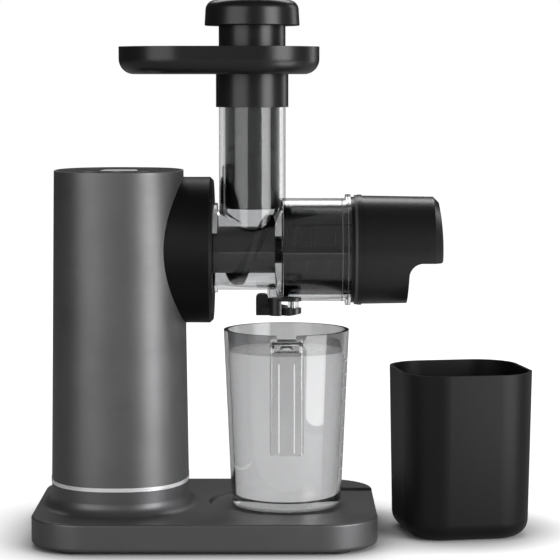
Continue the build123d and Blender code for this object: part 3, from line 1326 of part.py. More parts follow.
tip_seat = TIP_RADIUS + TIP_BUSH_WALL
with BuildPart() as front_cap:
    add(cap_form(0, body_start))
    add(turned([(cap_start, 0), (cap_start, CAP_SLEEVE_RADIUS), (flange_start, CAP_SLEEVE_RADIUS),
                (flange_start, CAP_FLANGE_RADIUS), (body_start, CAP_FLANGE_RADIUS), (body_start, 0)]))
    add(ring(cap_start, body_start, CAP_BORE_RADIUS, 0), mode=Mode.SUBTRACT)
    add(cap_form(CAP_RADIUS - CAP_BORE_RADIUS, body_start), mode=Mode.SUBTRACT)
    add(outlet_wall.part)
    for i in range(SPIDER_ARMS):
        add(sector(spider_start, spider_start + SPIDER_THICKNESS, CAP_BORE_RADIUS + CAP_BOND, 0,
                   360 * i / SPIDER_ARMS, SPIDER_ARM_ARC))
    add(ring(spider_start, spider_start + TIP_BUSH_LENGTH, tip_seat + TIP_SEAT_WALL, 0))
    add(ring(spider_start, spider_start + TIP_BUSH_LENGTH, tip_seat + PRESS_GAP, 0), mode=Mode.SUBTRACT)
    for angle in lug_angles:
        add(sector(groove_x + CAP_LUG_SIDE_GAP, groove_x + GROOVE_LENGTH - CAP_LUG_SIDE_GAP,
                   CAP_BORE_RADIUS + CAP_BOND, CAP_BORE_RADIUS - CAP_LUG_DEPTH, angle, CAP_LUG_ARC))
    add(outlet_cut.part, mode=Mode.SUBTRACT)

with BuildPart() as cap_seal_ring:
    add(ring(flange_start - CAP_SEAL_LENGTH, flange_start, CAP_SEAL_RADIUS, CAP_SLEEVE_RADIUS + PRESS_GAP))

with BuildPart() as tip_bush:
    add(ring(spider_start, spider_start + TIP_BUSH_LENGTH, tip_seat, TIP_RADIUS + RUNNING_FIT))

# === hopper tray and pusher =====================================================
tray_x = chute_x - TRAY_OVER_TOWER
tray_bottom = chute_top + TRAY_SEAT_GAP
tray_top = tray_bottom + TRAY_HEIGHT
tray_floor = tray_bottom + TRAY_WALL
collar_inner = CHUTE_RADIUS + COLLAR_GAP


def dish(inset, low):
    """The tray's rounded form, moved in by inset, from height low to its rim."""
    with BuildPart() as form:
        with BuildSketch(over(tray_x, low)):
            RectangleRounded(TRAY_LENGTH - 2 * inset, TRAY_DEPTH - 2 * inset, TRAY_CORNER - inset)
        extrude(amount=tray_top - low)
        fillet(form.faces().sort_by(Axis.Z)[0].edges(), TRAY_ROUND - inset)
    return form.part


with BuildPart() as hopper_tray:
    add(dish(0, tray_bottom))
    add(dish(TRAY_WALL, tray_floor), mode=Mode.SUBTRACT)
    with BuildSketch(over(chute_x, tray_bottom - COLLAR_DROP)):
        Circle(collar_inner + COLLAR_WALL)
    extrude(amount=COLLAR_DROP + TRAY_WALL)
    with BuildSketch(over(chute_x, tray_bottom - COLLAR_DROP)):
        Circle(collar_inner)
    extrude(amount=COLLAR_DROP, mode=Mode.SUBTRACT)
    with BuildSketch(over(chute_x, tray_bottom)):
        Circle(chute_bore)
    extrude(amount=TRAY_WALL, mode=Mode.SUBTRACT)

neck_bottom = tray_floor + TRAY_SEAT_GAP
neck_top = neck_bottom + PUSHER_NECK_HEIGHT
shaft_radius = chute_bore - PUSHER_GAP
shaft_bottom = neck_bottom - PUSHER_SHAFT_LENGTH

with BuildPart() as pusher_body:
    with BuildSketch(over(chute_x, neck_bottom)):
        Circle(CHUTE_RADIUS)
    extrude(amount=PUSHER_NECK_HEIGHT)
    with BuildSketch(over(chute_x, shaft_bottom)):
        Circle(shaft_radius)
    extrude(amount=PUSHER_SHAFT_LENGTH)
    fillet(pusher_body.faces().sort_by(Axis.Z)[0].edges(), PUSHER_END_ROUND)
    with BuildSketch(over(chute_x, shaft_bottom + PUSHER_WALL)):
        Circle(shaft_radius - PUSHER_WALL)
    extrude(amount=neck_top - shaft_bottom, mode=Mode.SUBTRACT)

with BuildPart() as pusher_cap:
    with BuildSketch(side(0)) as cap_half:
        with BuildLine():
            Polyline((chute_x, neck_top), (chute_x + PUSHER_CAP_RADIUS, neck_top),
                     (chute_x + PUSHER_CAP_RADIUS - PUSHER_CAP_TAPER, neck_top + PUSHER_CAP_HEIGHT),
                     (chute_x, neck_top + PUSHER_CAP_HEIGHT), close=True)
        make_face()
        rim_x = chute_x + PUSHER_CAP_RADIUS
        for z, radius in ((neck_top + PUSHER_CAP_HEIGHT, PUSHER_CAP_ROUND), (neck_top, PUSHER_CAP_EDGE)):
            fillet(cap_half.vertices().sort_by_distance((rim_x, z, 0))[0], radius)
    revolve(axis=Axis((chute_x, 0, 0), (0, 0, 1)))
    with BuildSketch(over(chute_x, neck_top - PUSHER_PLUG)):
        Circle(shaft_radius - PUSHER_WALL - STATIC_GAP)
    extrude(amount=PUSHER_PLUG)

# === jug ========================================================================
jug_bottom = recess_floor + JUG_SEAT_GAP
jug_top = stop_bottom - JUG_UNDER_STOP
jug_height = jug_top - jug_bottom
handle_top = jug_top - HANDLE_TOP_DROP
hook_root = min(JUG_TOP_RADIUS, JUG_BOTTOM_RADIUS) - JUG_WALL


def jug_form(inset, low):
    """The jug's cone, moved in by inset, from height low above its foot."""
    slope = (JUG_TOP_RADIUS - JUG_BOTTOM_RADIUS) / jug_height
    with BuildPart() as form:
        with BuildSketch(side(jug_bottom)):
            Polygon((jug_x, low), (jug_x + JUG_BOTTOM_RADIUS + slope * low - inset, low),
                    (jug_x + JUG_TOP_RADIUS - inset, jug_height), (jug_x, jug_height), align=None)
        revolve(axis=Axis((jug_x, 0, 0), (0, 0, 1)))
        fillet(form.faces().sort_by(Axis.Z)[0].edges(), JUG_FOOT_ROUND)
    return form.part


with BuildPart() as juice_jug:
    # hook handle: over from the rim, then down, a channel open towards the jug
    with BuildSketch(Plane(origin=(jug_x, 0, 0), x_dir=(0, -1, 0), z_dir=(-1, 0, 0))) as hook:
        Polygon((hook_root, handle_top), (HANDLE_REACH - HANDLE_LEAN, handle_top),
                (HANDLE_REACH, handle_top - HANDLE_LENGTH),
                (HANDLE_REACH - HANDLE_DEPTH, handle_top - HANDLE_LENGTH),
                (HANDLE_REACH - HANDLE_DEPTH - HANDLE_LEAN, handle_top - HANDLE_DEPTH),
                (hook_root, handle_top - HANDLE_DEPTH), align=None)
        fillet(hook.vertices().sort_by_distance((HANDLE_REACH - HANDLE_LEAN, handle_top, 0))[0], HANDLE_ROUND)
    extrude(amount=HANDLE_WIDTH / 2, both=True)
    fillet([edge for edge in juice_jug.faces().filter_by(Axis.X).edges()
            if edge.center().Z > handle_top - HANDLE_WALL
            or edge.center().Y < -(HANDLE_REACH - HANDLE_DEPTH + HANDLE_LEAN / 2)], HANDLE_EDGE)
    with BuildSketch(Plane(origin=(jug_x, 0, 0), x_dir=(0, -1, 0), z_dir=(-1, 0, 0))):
        Polygon((JUG_TOP_RADIUS + HANDLE_WALL, handle_top - HANDLE_WALL),
                (HANDLE_REACH - HANDLE_LEAN - HANDLE_WALL, handle_top - HANDLE_WALL - HANDLE_ROUND / 2),
                (HANDLE_REACH - HANDLE_WALL, handle_top - HANDLE_LENGTH - MARGIN),
                (HANDLE_REACH - 2 * HANDLE_DEPTH, handle_top - HANDLE_LENGTH - MARGIN),
                (HANDLE_REACH - 2 * HANDLE_DEPTH, handle_top - 2 * HANDLE_DEPTH),
                (JUG_TOP_RADIUS + HANDLE_WALL, handle_top - 2 * HANDLE_DEPTH), align=None)
    extrude(amount=HANDLE_WIDTH / 2 - HANDLE_WALL, both=True, mode=Mode.SUBTRACT)
    add(jug_form(0, 0))
    add(jug_form(JUG_WALL, JUG_FLOOR), mode=Mode.SUBTRACT)
    # notch in the rim behind the handle
    with BuildSketch(side(jug_top, -JUG_BOTTOM_RADIUS / 2)):
        with Locations((jug_x, 0)):
            SlotOverall(2 * NOTCH_DEPTH, NOTCH_WIDTH, rotation=90)
    extrude(amount=JUG_TOP_RADIUS - JUG_BOTTOM_RADIUS / 2 + MARGIN, mode=Mode.SUBTRACT)

# === pulp cup ===================================================================
def cup_form(inset, low):
    """The cup's rounded square form, moved in by inset, from height low to its rim."""
    shrink = 2 * (CUP_HEIGHT - low) * tan(radians(CUP_TAPER))
    side_length = CUP_SIDE - shrink - 2 * inset
    with BuildPart() as form:
        turned_x = (cos(radians(CUP_TURN)), sin(radians(CUP_TURN)), 0)
        with BuildSketch(Plane(origin=(cup_x, 0, low), x_dir=turned_x, z_dir=(0, 0, 1))):
            RectangleRounded(side_length, side_length, CUP_CORNER - shrink / 2 - inset)
        extrude(amount=CUP_HEIGHT - low, taper=-CUP_TAPER)
        fillet(form.faces().sort_by(Axis.Z)[0].edges(), CUP_FOOT_ROUND - inset)
    return form.part


with BuildPart() as pulp_cup:
    add(cup_form(0, 0))
    add(cup_form(CUP_WALL, CUP_WALL), mode=Mode.SUBTRACT)

# === files ======================================================================
pieces = {
    "base_housing": base_housing, "bottom_cover": bottom_cover, "rubber_feet": rubber_feet,
    "base_screws": base_screws, "cord_gland": cord_gland, "trim_ring": trim_ring,
    "tower_shell": tower_shell, "top_panel": top_panel, "display_window": display_window,
    "control_board": control_board, "button_switches": button_switches,
    "power_button": power_button, "start_button": start_button, "reverse_button": reverse_button,
    "power_board": power_board, "board_rails": board_rails, "drum_mount": drum_mount,
    "mount_screws": mount_screws, "shaft_seal": shaft_seal, "gearbox_housing": gearbox_housing,
    "gearbox_cover": gearbox_cover, "gearbox_screws": gearbox_screws, "output_bushes": output_bushes,
    "idler_bushes": idler_bushes, "motor_can": motor_can, "motor_magnets": motor_magnets,
    "motor_front_bell": motor_front_bell, "motor_rear_bell": motor_rear_bell,
    "motor_bearings": motor_bearings, "motor_screws": motor_screws, "motor_brushes": motor_brushes,
    "motor_cradle": motor_cradle, "cradle_pad": cradle_pad, "motor_shaft": motor_shaft,
    "motor_pinion": motor_pinion, "armature_core": armature_core, "armature_windings": armature_windings,
    "commutator": commutator, "motor_fan": motor_fan, "idler_gear": idler_gear,
    "idler_pinion": idler_pinion, "output_gear": output_gear, "output_shaft": output_shaft,
    "auger": auger, "drum_housing": drum_housing, "strainer_frame": strainer_frame,
    "strainer_mesh": strainer_mesh, "drip_stop_pin": drip_stop_pin, "drip_stop": drip_stop,
    "drip_stop_seal": drip_stop_seal, "front_cap": front_cap, "cap_seal_ring": cap_seal_ring,
    "tip_bush": tip_bush, "hopper_tray": hopper_tray, "pusher_body": pusher_body,
    "pusher_cap": pusher_cap, "juice_jug": juice_jug, "pulp_cup": pulp_cup,
}
os.makedirs("parts", exist_ok=True)
for name, piece in pieces.items():
    piece.part.label = name
    export_step(piece.part, f"parts/{name}.step")
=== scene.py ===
"""Cold press juicer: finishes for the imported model, and the pieces that only the eye needs."""
import json
import math

import bmesh
import bpy
from mathutils import Matrix, Vector


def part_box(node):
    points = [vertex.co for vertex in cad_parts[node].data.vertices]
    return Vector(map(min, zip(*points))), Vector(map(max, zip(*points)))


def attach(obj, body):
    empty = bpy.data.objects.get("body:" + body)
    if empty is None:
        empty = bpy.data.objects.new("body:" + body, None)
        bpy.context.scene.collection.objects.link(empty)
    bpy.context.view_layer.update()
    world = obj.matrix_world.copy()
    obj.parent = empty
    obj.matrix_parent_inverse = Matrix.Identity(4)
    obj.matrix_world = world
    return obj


bl_info = {
    "name": "Cold press juicer",
    "version": (1, 0, 0),
    "blender": (4, 5, 0),
    "location": "View3D > Sidebar > Juicer",
    "description": "Finishes and small pieces of a cold press juicer",
    "category": "Object",
}

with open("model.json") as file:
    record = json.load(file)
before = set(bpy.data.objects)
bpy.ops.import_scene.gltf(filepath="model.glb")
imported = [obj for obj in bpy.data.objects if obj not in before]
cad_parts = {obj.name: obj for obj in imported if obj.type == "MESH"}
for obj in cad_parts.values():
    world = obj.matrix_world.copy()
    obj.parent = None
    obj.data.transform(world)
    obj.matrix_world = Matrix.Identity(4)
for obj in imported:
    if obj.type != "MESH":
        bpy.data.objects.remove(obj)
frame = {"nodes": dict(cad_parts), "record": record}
NODES = frame["nodes"]
SLOT_OF_NODE = {part["node"]: part["material_slot"] for part in frame["record"]["subparts"]}
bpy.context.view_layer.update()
NODES_CENTRE = {name: sum(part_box(name), Vector()) / 2 for name in NODES}

# Details of the model that the boxes of its nodes don't give. Lengths are in metres.
JUG_FOOT = 0.0384                 # outer radius of the jug at its foot
HANDLE_GAP = 0.0005               # from the jug's rim to where the handle's own tint starts
HANDLE_LEAN = math.radians(3.01)
HANDLE_ROUND = 0.002              # rounded edge at the handle's lower end
TAB_END = 0.003                   # the drum's lock tab, from the mount's face
TAB_LOW = 0.0133                  # its lower edge, above the drum's axis
STRAINER_RADIUS = 0.03            # for the pitch of its holes
THROAT_RADIUS = 0.028             # narrow part of the drum
THROAT_ENDS = (0.0035, 0.0425)    # its ends, from the mount's face
BARREL_RADIUS = 0.036             # wide part of the drum
BARREL_ENDS = (0.0485, 0.0042)    # its ends, from the mount's face and from the cap
# places of the two painted highlight lines, back from the cap
RING_HIGHLIGHTS_FROM_CAP = (0.0064, 0.0024)

# Shape of the small pieces.
ROUND_STEPS = 96                  # faces round a turned piece
JUICE_CORNER = 0.003              # rounded foot of the juice
CORNER_PARTS = 4
MENISCUS_SHARES = (0.35, 0.6, 0.85, 1.0)    # points along the meniscus, from the wall inwards
MENISCUS_REACH = 3                # width of the meniscus, in times its height
MARKS = 9
MARK_FIRST = 0.046                # height of the scale's lowest mark
MARK_STEP = 0.0095
MARK_TURN = math.radians(-14)     # place of the scale round the jug
LONG_MARK = 1.6                   # length of a long mark, in times that of a short one
ICON_DEPTH = 0.0001
ICON_BEVEL = 0.1                  # rounding of a stroke, in times its smallest side
ARC_PARTS = 20
ARC_OVERLAP = 1.05

# Name, place and size of each lamp. Its power is a setting of the stage.
LAMPS = (
    ("key", (1.4, -1.2, 0.5), (1.1, 1.4)),
    ("fill", (-1.2, -1.5, 0.6), (1.7, 1.4)),
    ("top", (0.0, 1.1, 1.3), (1.6, 0.5)),
    ("rim", (1.3, 0.9, 0.5), (0.5, 1.2)),
    ("low", (0.3, -0.2, 0.1), (0.25, 0.19)),
)
LAMP_AIM = Vector((0.0, 0.0, 0.17))
WORLD_LEVEL = 0.035               # light from all round
FLOOR_REACH = 8.0
FLOOR_GREY = 0.5
FLOOR_NEAR = (0.3, 0.84)          # distance from the middle, and how white the floor looks there
FLOOR_FAR = (1.2, 1.0)
SHADOW_REACH = 0.05               # the shade next to what stands on the floor
SHADOW_DEPTH = 3.0


# --- sizes and colours a user would change --------------------------------------
def length(name, default, description):
    return bpy.props.FloatProperty(name=name, description=description, default=default,
                                   unit="LENGTH", precision=5)


def power(name, default, description):
    return bpy.props.FloatProperty(name=name, description=description, default=default, unit="POWER")


def colour(name, default, description):
    return bpy.props.FloatVectorProperty(name=name, description=description, default=default,
                                         subtype="COLOR", size=3, min=0.0, max=1.0)


class JuicerSizes(bpy.types.PropertyGroup):
    juice_top: length("Juice level", 0.1275, "Height of the juice above the table")
    juice_gap: length("Juice gap", 0.0002, "Clearance between the juice and the jug's wall")
    meniscus: length("Meniscus", 0.0011, "How far the juice climbs the wall")
    jug_wall: length("Jug wall", 0.003, "Thickness of the jug's wall")
    jug_floor: length("Jug floor", 0.0059, "Thickness of the jug's floor")
    mark_length: length("Scale mark", 0.0055, "Length of a short mark on the jug's scale")
    mark_height: length("Scale mark height", 0.0006, "Height of a mark on the jug's scale")
    mark_depth: length("Scale mark depth", 0.0002, "How far a mark stands out of the jug")
    rib_width: length("Handle rib", 0.0009, "Width of a rib on the jug's handle")
    rib_place: length("Handle rib place", 0.0052, "From the middle of the handle to a rib")
    rib_length: length("Handle rib length", 0.06, "Length of a rib on the jug's handle")
    seam_depth: length("Seam depth", 0.0001, "How far the drum's mould seam stands out")
    seam_height: length("Seam height", 0.0004, "Height of the drum's mould seam")
    icon_size: length("Icon size", 0.0026, "Radius of the symbol on a button")
    icon_line: length("Icon line", 0.00028, "Half the width of a symbol's line")


class JuicerColours(bpy.types.PropertyGroup):
    tower: colour("Tower", (0.165, 0.165, 0.168), "Brushed graphite of the tower")
    base: colour("Base", (0.136, 0.136, 0.14), "Satin coat of the base")
    shell: colour("Black shell", (0.011, 0.011, 0.0115), "Moulded black plastic")
    matte: colour("Matte black", (0.012, 0.012, 0.0125), "Matte black plastic")
    drum: colour("Drum", (0.62, 0.625, 0.63), "Tint of the drum's clear plastic, seen face on")
    jug: colour("Jug", (0.36, 0.362, 0.366), "Tint of the jug's clear plastic, seen face on")
    # Also lends painted shade to the drum's mount and the pulp cup, darker than their own black plastic.
    screw: colour("Screw and strainer", (0.006, 0.006, 0.0065), "Black of the parts inside the drum")
    juice: colour("Juice", (0.78, 0.78, 0.785), "Juice in the jug")
    trim: colour("Trim", (0.92, 0.92, 0.93), "Polished ring")
    window: colour("Window", (0.72, 0.73, 0.74), "Display window")


class JuicerStage(bpy.types.PropertyGroup):
    key_power: power("Key light", 27.0, "Power of the tall light on the right")
    fill_power: power("Fill light", 16.0, "Power of the broad light on the left")
    top_power: power("Top light", 9.0, "Power of the light overhead")
    rim_power: power("Rim light", 3.5, "Power of the light behind on the right")
    low_power: power("Low light", 0.5, "Power of the low light at the right front")
    camera_distance: length("Camera distance", 1.56, "From the camera to the middle of the machine")
    camera_height: length("Camera height", 0.32, "Height of the camera above the table")
    camera_side: length("Camera side", -0.0027, "Place of the camera along the machine")
    camera_tilt: bpy.props.FloatProperty(name="Camera tilt", description="How far the camera looks down",
                                         default=math.radians(5.22), subtype="ANGLE")
    camera_lens: bpy.props.FloatProperty(name="Lens", description="Focal length for a 36 mm sensor",
                                         default=143.7, unit="CAMERA")


# --- shader helpers -------------------------------------------------------------
class Finish:
    """A material under construction: its principled shader, and short calls for its nodes."""

    def __init__(self, name, base, roughness, metallic=0.0, **sockets):
        self.material = bpy.data.materials.new(name)
        self.material.use_nodes = True
        self.tree = self.material.node_tree
        self.shader = self.tree.nodes["Principled BSDF"]
        self.shader.inputs["Base Color"].default_value = (*base, 1.0)
        self.shader.inputs["Roughness"].default_value = roughness
        self.shader.inputs["Metallic"].default_value = metallic
        for socket, value in sockets.items():
            self.shader.inputs[socket.replace("_", " ")].default_value = value
        self.place = self.node("ShaderNodeTexCoord").outputs["Object"]

    def node(self, kind, **settings):
        made = self.tree.nodes.new(kind)
        for key, value in settings.items():
            setattr(made, key, value)
        return made

    def link(self, output, socket):
        self.tree.links.new(output, socket)

    def scaled(self, scale):
        """Object coordinates, stretched along each axis."""
        mapping = self.node("ShaderNodeMapping")
        mapping.inputs["Scale"].default_value = scale
        self.link(self.place, mapping.inputs["Vector"])
        return mapping.outputs["Vector"]

    def noise(self, scale, detail=2.0, vector=None):
        made = self.node("ShaderNodeTexNoise")
        made.inputs["Scale"].default_value = scale
        made.inputs["Detail"].default_value = detail
        self.link(vector or self.place, made.inputs["Vector"])
        return made.outputs["Fac"]

    def spread(self, value, low, high):
        """A noise value, which mostly lies between 0.3 and 0.7, spread from low to high."""
        made = self.node("ShaderNodeMapRange")
        made.inputs["From Min"].default_value = 0.3
        made.inputs["From Max"].default_value = 0.7
        made.inputs["To Min"].default_value = low
        made.inputs["To Max"].default_value = high
        self.link(value, made.inputs["Value"])
        return made.outputs["Result"]

    def tint(self, value, dark, light):
        """Colour between dark and light by a 0 to 1 value, onto the shader."""
        made = self.node("ShaderNodeMix", data_type="RGBA")
        made.inputs[6].default_value = (*dark, 1.0)
        made.inputs[7].default_value = (*light, 1.0)
        self.link(value, made.inputs[0])
        self.link(made.outputs[2], self.shader.inputs["Base Color"])

    def bump(self, value, height, strength):
        made = self.node("ShaderNodeBump")
        made.inputs["Strength"].default_value = strength
        made.inputs["Distance"].default_value = height
        self.link(value, made.inputs["Height"])
        self.link(made.outputs["Normal"], self.shader.inputs["Normal"])

    def above(self, value, edge):
        """1 where a value is greater than an edge, and 0 elsewhere."""
        made = self.node("ShaderNodeMath", operation="GREATER_THAN")
        made.inputs[1].default_value = edge
        self.link(value, made.inputs[0])
        return made.outputs["Value"]

    def product(self, first, second):
        made = self.node("ShaderNodeMath", operation="MULTIPLY")
        self.link(first, made.inputs[0])
        self.link(second, made.inputs[1])
        return made.outputs["Value"]

    def roughen(self, value, low, high):
        self.link(self.spread(value, low, high), self.shader.inputs["Roughness"])


def shade(base, factor):
    return tuple(min(1.0, channel * factor) for channel in base)


# --- finishes -------------------------------------------------------------------
def brushed_graphite(base):
    """Metallic coat with a fine grain drawn round the tower."""
    made = Finish("graphite_metal", base, 0.46, 0.8, Specular_IOR_Level=0.5)
    grain = made.noise(60, 3, made.scaled((1, 1, 60)))
    cloud = made.noise(35, 4)
    made.tint(made.spread(cloud, 0.2, 0.8), shade(base, 0.88), shade(base, 1.12))
    made.roughen(grain, 0.41, 0.52)
    made.bump(grain, 0.00003, 0.5)
    return made.material


def coated_base(base):
    """Fine textured coat of the slab base."""
    made = Finish("base_metal", base, 0.42, 0.7)
    fine = made.noise(2600, 2)
    made.tint(made.spread(made.noise(30, 3), 0.3, 0.7), shade(base, 0.9), shade(base, 1.1))
    made.roughen(fine, 0.38, 0.47)
    made.bump(fine, 0.00003, 0.35)
    return made.material


def moulded_black(name, base, roughness, grain):
    """Black moulded plastic with a fine tool texture."""
    made = Finish(name, base, roughness, IOR=1.5)
    fine = made.noise(3200, 2)
    made.tint(made.spread(made.noise(45, 3), 0.3, 0.7), shade(base, 0.85), shade(base, 1.15))
    made.roughen(fine, roughness - 0.05, roughness + 0.06)
    made.bump(fine, grain, 0.4)
    return made.material


def clear_plastic(name, base, edge):
    """Clear moulded plastic, with one tint seen face on and another painted at its edges, standing in
    for the dark and light that refraction and reflection give a clear rim.
    """
    made = Finish(name, base, 0.015, IOR=1.46, Transmission_Weight=1.0)
    # Painted edge tone: the colour moves to the edge value where the surface turns away from the view.
    rim = made.node("ShaderNodeLayerWeight")
    rim.inputs["Blend"].default_value = 0.5
    edge_paint_mask = made.node("ShaderNodeMath", operation="POWER")
    edge_paint_mask.inputs[1].default_value = 2.0
    made.link(rim.outputs["Facing"], edge_paint_mask.inputs[0])
    made.tint(edge_paint_mask.outputs["Value"], base, (edge, edge, edge))
    made.bump(made.noise(18, 1), 0.0004, 0.12)
    return made


def jug_plastic(base):
    """The jug's clear plastic, polished, with a clearer handle outside the cone."""
    # Painted shade at the edges: they go dark, to 0.1.
    made = clear_plastic("jug_plastic", base, 0.1)
    made.shader.inputs["Coat Weight"].default_value = 0.7
    made.shader.inputs["Coat Roughness"].default_value = 0.02
    centred = made.node("ShaderNodeMapping")
    centred.inputs["Location"].default_value = -jug_centre()
    centred.inputs["Scale"].default_value = (1.0, 1.0, 0.0)
    made.link(made.place, centred.inputs["Vector"])
    reach = made.node("ShaderNodeVectorMath", operation="LENGTH")
    made.link(centred.outputs["Vector"], reach.inputs[0])
    handle = made.above(reach.outputs["Value"], jug_top_radius() + HANDLE_GAP)
    tinted = made.shader.inputs["Base Color"].links[0].from_socket
    either = made.node("ShaderNodeMix", data_type="RGBA")
    either.inputs[7].default_value = (0.78, 0.78, 0.78, 1.0)
    made.link(handle, either.inputs[0])
    made.link(tinted, either.inputs[6])
    made.link(either.outputs[2], made.shader.inputs["Base Color"])
    return made.material


def drum_plastic(base):
    """The drum's clear plastic, frosted where the lock tab stands up behind the collar."""
    # Painted light at the edges: they go to 0.7, lighter than the drum's face tint.
    made = clear_plastic("drum_plastic", base, 0.7)
    parts = made.node("ShaderNodeSeparateXYZ")
    made.link(made.place, parts.inputs["Vector"])
    near = made.node("ShaderNodeMath", operation="LESS_THAN")
    near.inputs[1].default_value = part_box("drum_mount")[1].x + TAB_END
    made.link(parts.outputs["X"], near.inputs[0])
    high = made.above(parts.outputs["Z"], NODES_CENTRE["auger"].z + TAB_LOW)
    clear = made.node("ShaderNodeMapRange")
    clear.inputs["To Min"].default_value = 1.0
    clear.inputs["To Max"].default_value = 0.25
    made.link(made.product(near.outputs["Value"], high), clear.inputs["Value"])
    made.link(clear.outputs["Result"], made.shader.inputs["Transmission Weight"])
    return made.material


def dull_black_and_painted_shade(name, base, gloss):
    """Dull black of the parts inside the clear drum, also used as painted shade on the drum's mount and
    the pulp cup, darker than their own black plastic.
    """
    made = Finish(name, base, 0.45, Specular_IOR_Level=gloss)
    fine = made.noise(1500, 2)
    made.roughen(fine, 0.38, 0.52)
    made.bump(fine, 0.00003, 0.3)
    return made.material


def polished_trim(base):
    made = Finish("trim_chrome", base, 0.28, 0.45)
    made.roughen(made.noise(40, 2, made.scaled((1, 1, 20))), 0.26, 0.31)
    return made.material


def frosted_window_painted_glow(base):
    # Painted glow: an even emission of 0.2 lightens the window.
    made = Finish("window", base, 0.35, Coat_Weight=0.2, Coat_Roughness=0.08,
                  Emission_Color=(1, 1, 1, 1), Emission_Strength=0.2)
    made.tint(made.spread(made.noise(90, 2), 0.3, 0.7), shade(base, 0.93), shade(base, 1.05))
    made.roughen(made.noise(900, 2), 0.3, 0.42)
    return made.material


def soft_rubber():
    made = Finish("rubber", (0.012, 0.012, 0.012), 0.75, Sheen_Weight=0.15)
    made.bump(made.noise(1800, 3), 0.00005, 0.5)
    made.roughen(made.noise(300, 2), 0.68, 0.82)
    return made.material


def clear_seal():
    """Smoky silicone of the cap's seal ring."""
    made = Finish("clear_seal", (0.07, 0.07, 0.072), 0.35, Transmission_Weight=0.3, IOR=1.42)
    made.roughen(made.noise(500, 2), 0.3, 0.42)
    return made.material


def metal(name, base, roughness, stretch=(1, 1, 1), scale=200, pits=0.00002):
    """Bare metal with its grain stretched along one axis."""
    made = Finish(name, base, roughness, 1.0)
    grain = made.noise(scale, 3, made.scaled(stretch))
    made.tint(made.spread(grain, 0.2, 0.8), shade(base, 0.85), shade(base, 1.1))
    made.roughen(grain, roughness - 0.08, roughness + 0.1)
    made.bump(grain, pits, 0.5)
    return made.material


def perforated_steel():
    """Sheet steel of the strainer with rows of fine holes."""
    made = Finish("strainer_steel", (0.03, 0.03, 0.031), 0.35, 1.0)
    centre = NODES_CENTRE["strainer_mesh"]
    centred = made.node("ShaderNodeMapping")
    centred.inputs["Location"].default_value = (-centre.x, 0.0, -centre.z)
    made.link(made.place, centred.inputs["Vector"])
    parts = made.node("ShaderNodeSeparateXYZ")
    made.link(centred.outputs["Vector"], parts.inputs["Vector"])
    turn = made.node("ShaderNodeMath", operation="ARCTAN2")
    made.link(parts.outputs["Y"], turn.inputs[0])
    made.link(parts.outputs["Z"], turn.inputs[1])
    grid = made.node("ShaderNodeCombineXYZ")
    made.link(parts.outputs["X"], grid.inputs["X"])
    around = made.node("ShaderNodeMath", operation="MULTIPLY")
    around.inputs[1].default_value = STRAINER_RADIUS
    made.link(turn.outputs["Value"], around.inputs[0])
    made.link(around.outputs["Value"], grid.inputs["Y"])
    holes = made.node("ShaderNodeTexVoronoi", feature="F1")
    holes.inputs["Scale"].default_value = 900
    holes.inputs["Randomness"].default_value = 0.0
    made.link(grid.outputs["Vector"], holes.inputs["Vector"])
    made.link(made.above(holes.outputs["Distance"], 0.28), made.shader.inputs["Alpha"])
    made.roughen(made.noise(400, 2), 0.28, 0.42)
    return made.material


def circuit_board():
    made = Finish("circuit", (0.012, 0.07, 0.03), 0.35, Coat_Weight=0.4)
    tracks = made.node("ShaderNodeTexBrick")
    tracks.inputs["Scale"].default_value = 180
    tracks.inputs["Color1"].default_value = (0.012, 0.07, 0.03, 1)
    tracks.inputs["Color2"].default_value = (0.016, 0.09, 0.04, 1)
    tracks.inputs["Mortar"].default_value = (0.03, 0.13, 0.06, 1)
    tracks.inputs["Mortar Size"].default_value = 0.03
    made.link(made.place, tracks.inputs["Vector"])
    made.link(tracks.outputs["Color"], made.shader.inputs["Base Color"])
    return made.material


def winding_copper():
    made = Finish("copper", (0.62, 0.25, 0.1), 0.3, 1.0)
    wire = made.node("ShaderNodeTexWave", wave_type="BANDS", bands_direction="Y")
    wire.inputs["Scale"].default_value = 700
    made.link(made.place, wire.inputs["Vector"])
    made.bump(wire.outputs["Fac"], 0.0002, 0.8)
    made.roughen(wire.outputs["Fac"], 0.25, 0.4)
    return made.material


def nylon():
    made = Finish("nylon", (0.62, 0.61, 0.57), 0.42, Subsurface_Weight=0.1, Subsurface_Scale=0.002)
    made.tint(made.spread(made.noise(60, 3), 0.3, 0.7), (0.58, 0.57, 0.53), (0.66, 0.65, 0.61))
    made.roughen(made.noise(700, 2), 0.36, 0.5)
    return made.material


def juice_painted_glow(base):
    """Cloudy juice with a painted glow: its emission stands in for the light that reaches it through the
    jug's dark wall, and is weaker on its open top.
    """
    made = Finish("juice", base, 0.25, Subsurface_Weight=0.25, Subsurface_Scale=0.01, IOR=1.34,
                  Emission_Color=(1, 1, 1, 1))
    # Painted glow: emission strength 1.2 where the face stands upright, falling to 0.5 where it faces
    # up.
    facing = made.node("ShaderNodeSeparateXYZ")
    made.link(made.node("ShaderNodeNewGeometry").outputs["True Normal"], facing.inputs["Vector"])
    glow = made.node("ShaderNodeMapRange")
    glow.inputs["From Min"].default_value = 0.2
    glow.inputs["From Max"].default_value = 0.8
    glow.inputs["To Min"].default_value = 1.2
    glow.inputs["To Max"].default_value = 0.5
    made.link(facing.outputs["Z"], glow.inputs["Value"])
    made.link(glow.outputs["Result"], made.shader.inputs["Emission Strength"])
    cloud = made.noise(28, 4)
    made.tint(made.spread(cloud, 0.2, 0.8), shade(base, 0.9), shade(base, 1.1))
    made.roughen(made.noise(260, 3), 0.18, 0.34)
    return made.material


def printed_mark(name, base):
    made = Finish(name, base, 0.5)
    made.roughen(made.noise(1500, 2), 0.45, 0.6)
    return made.material


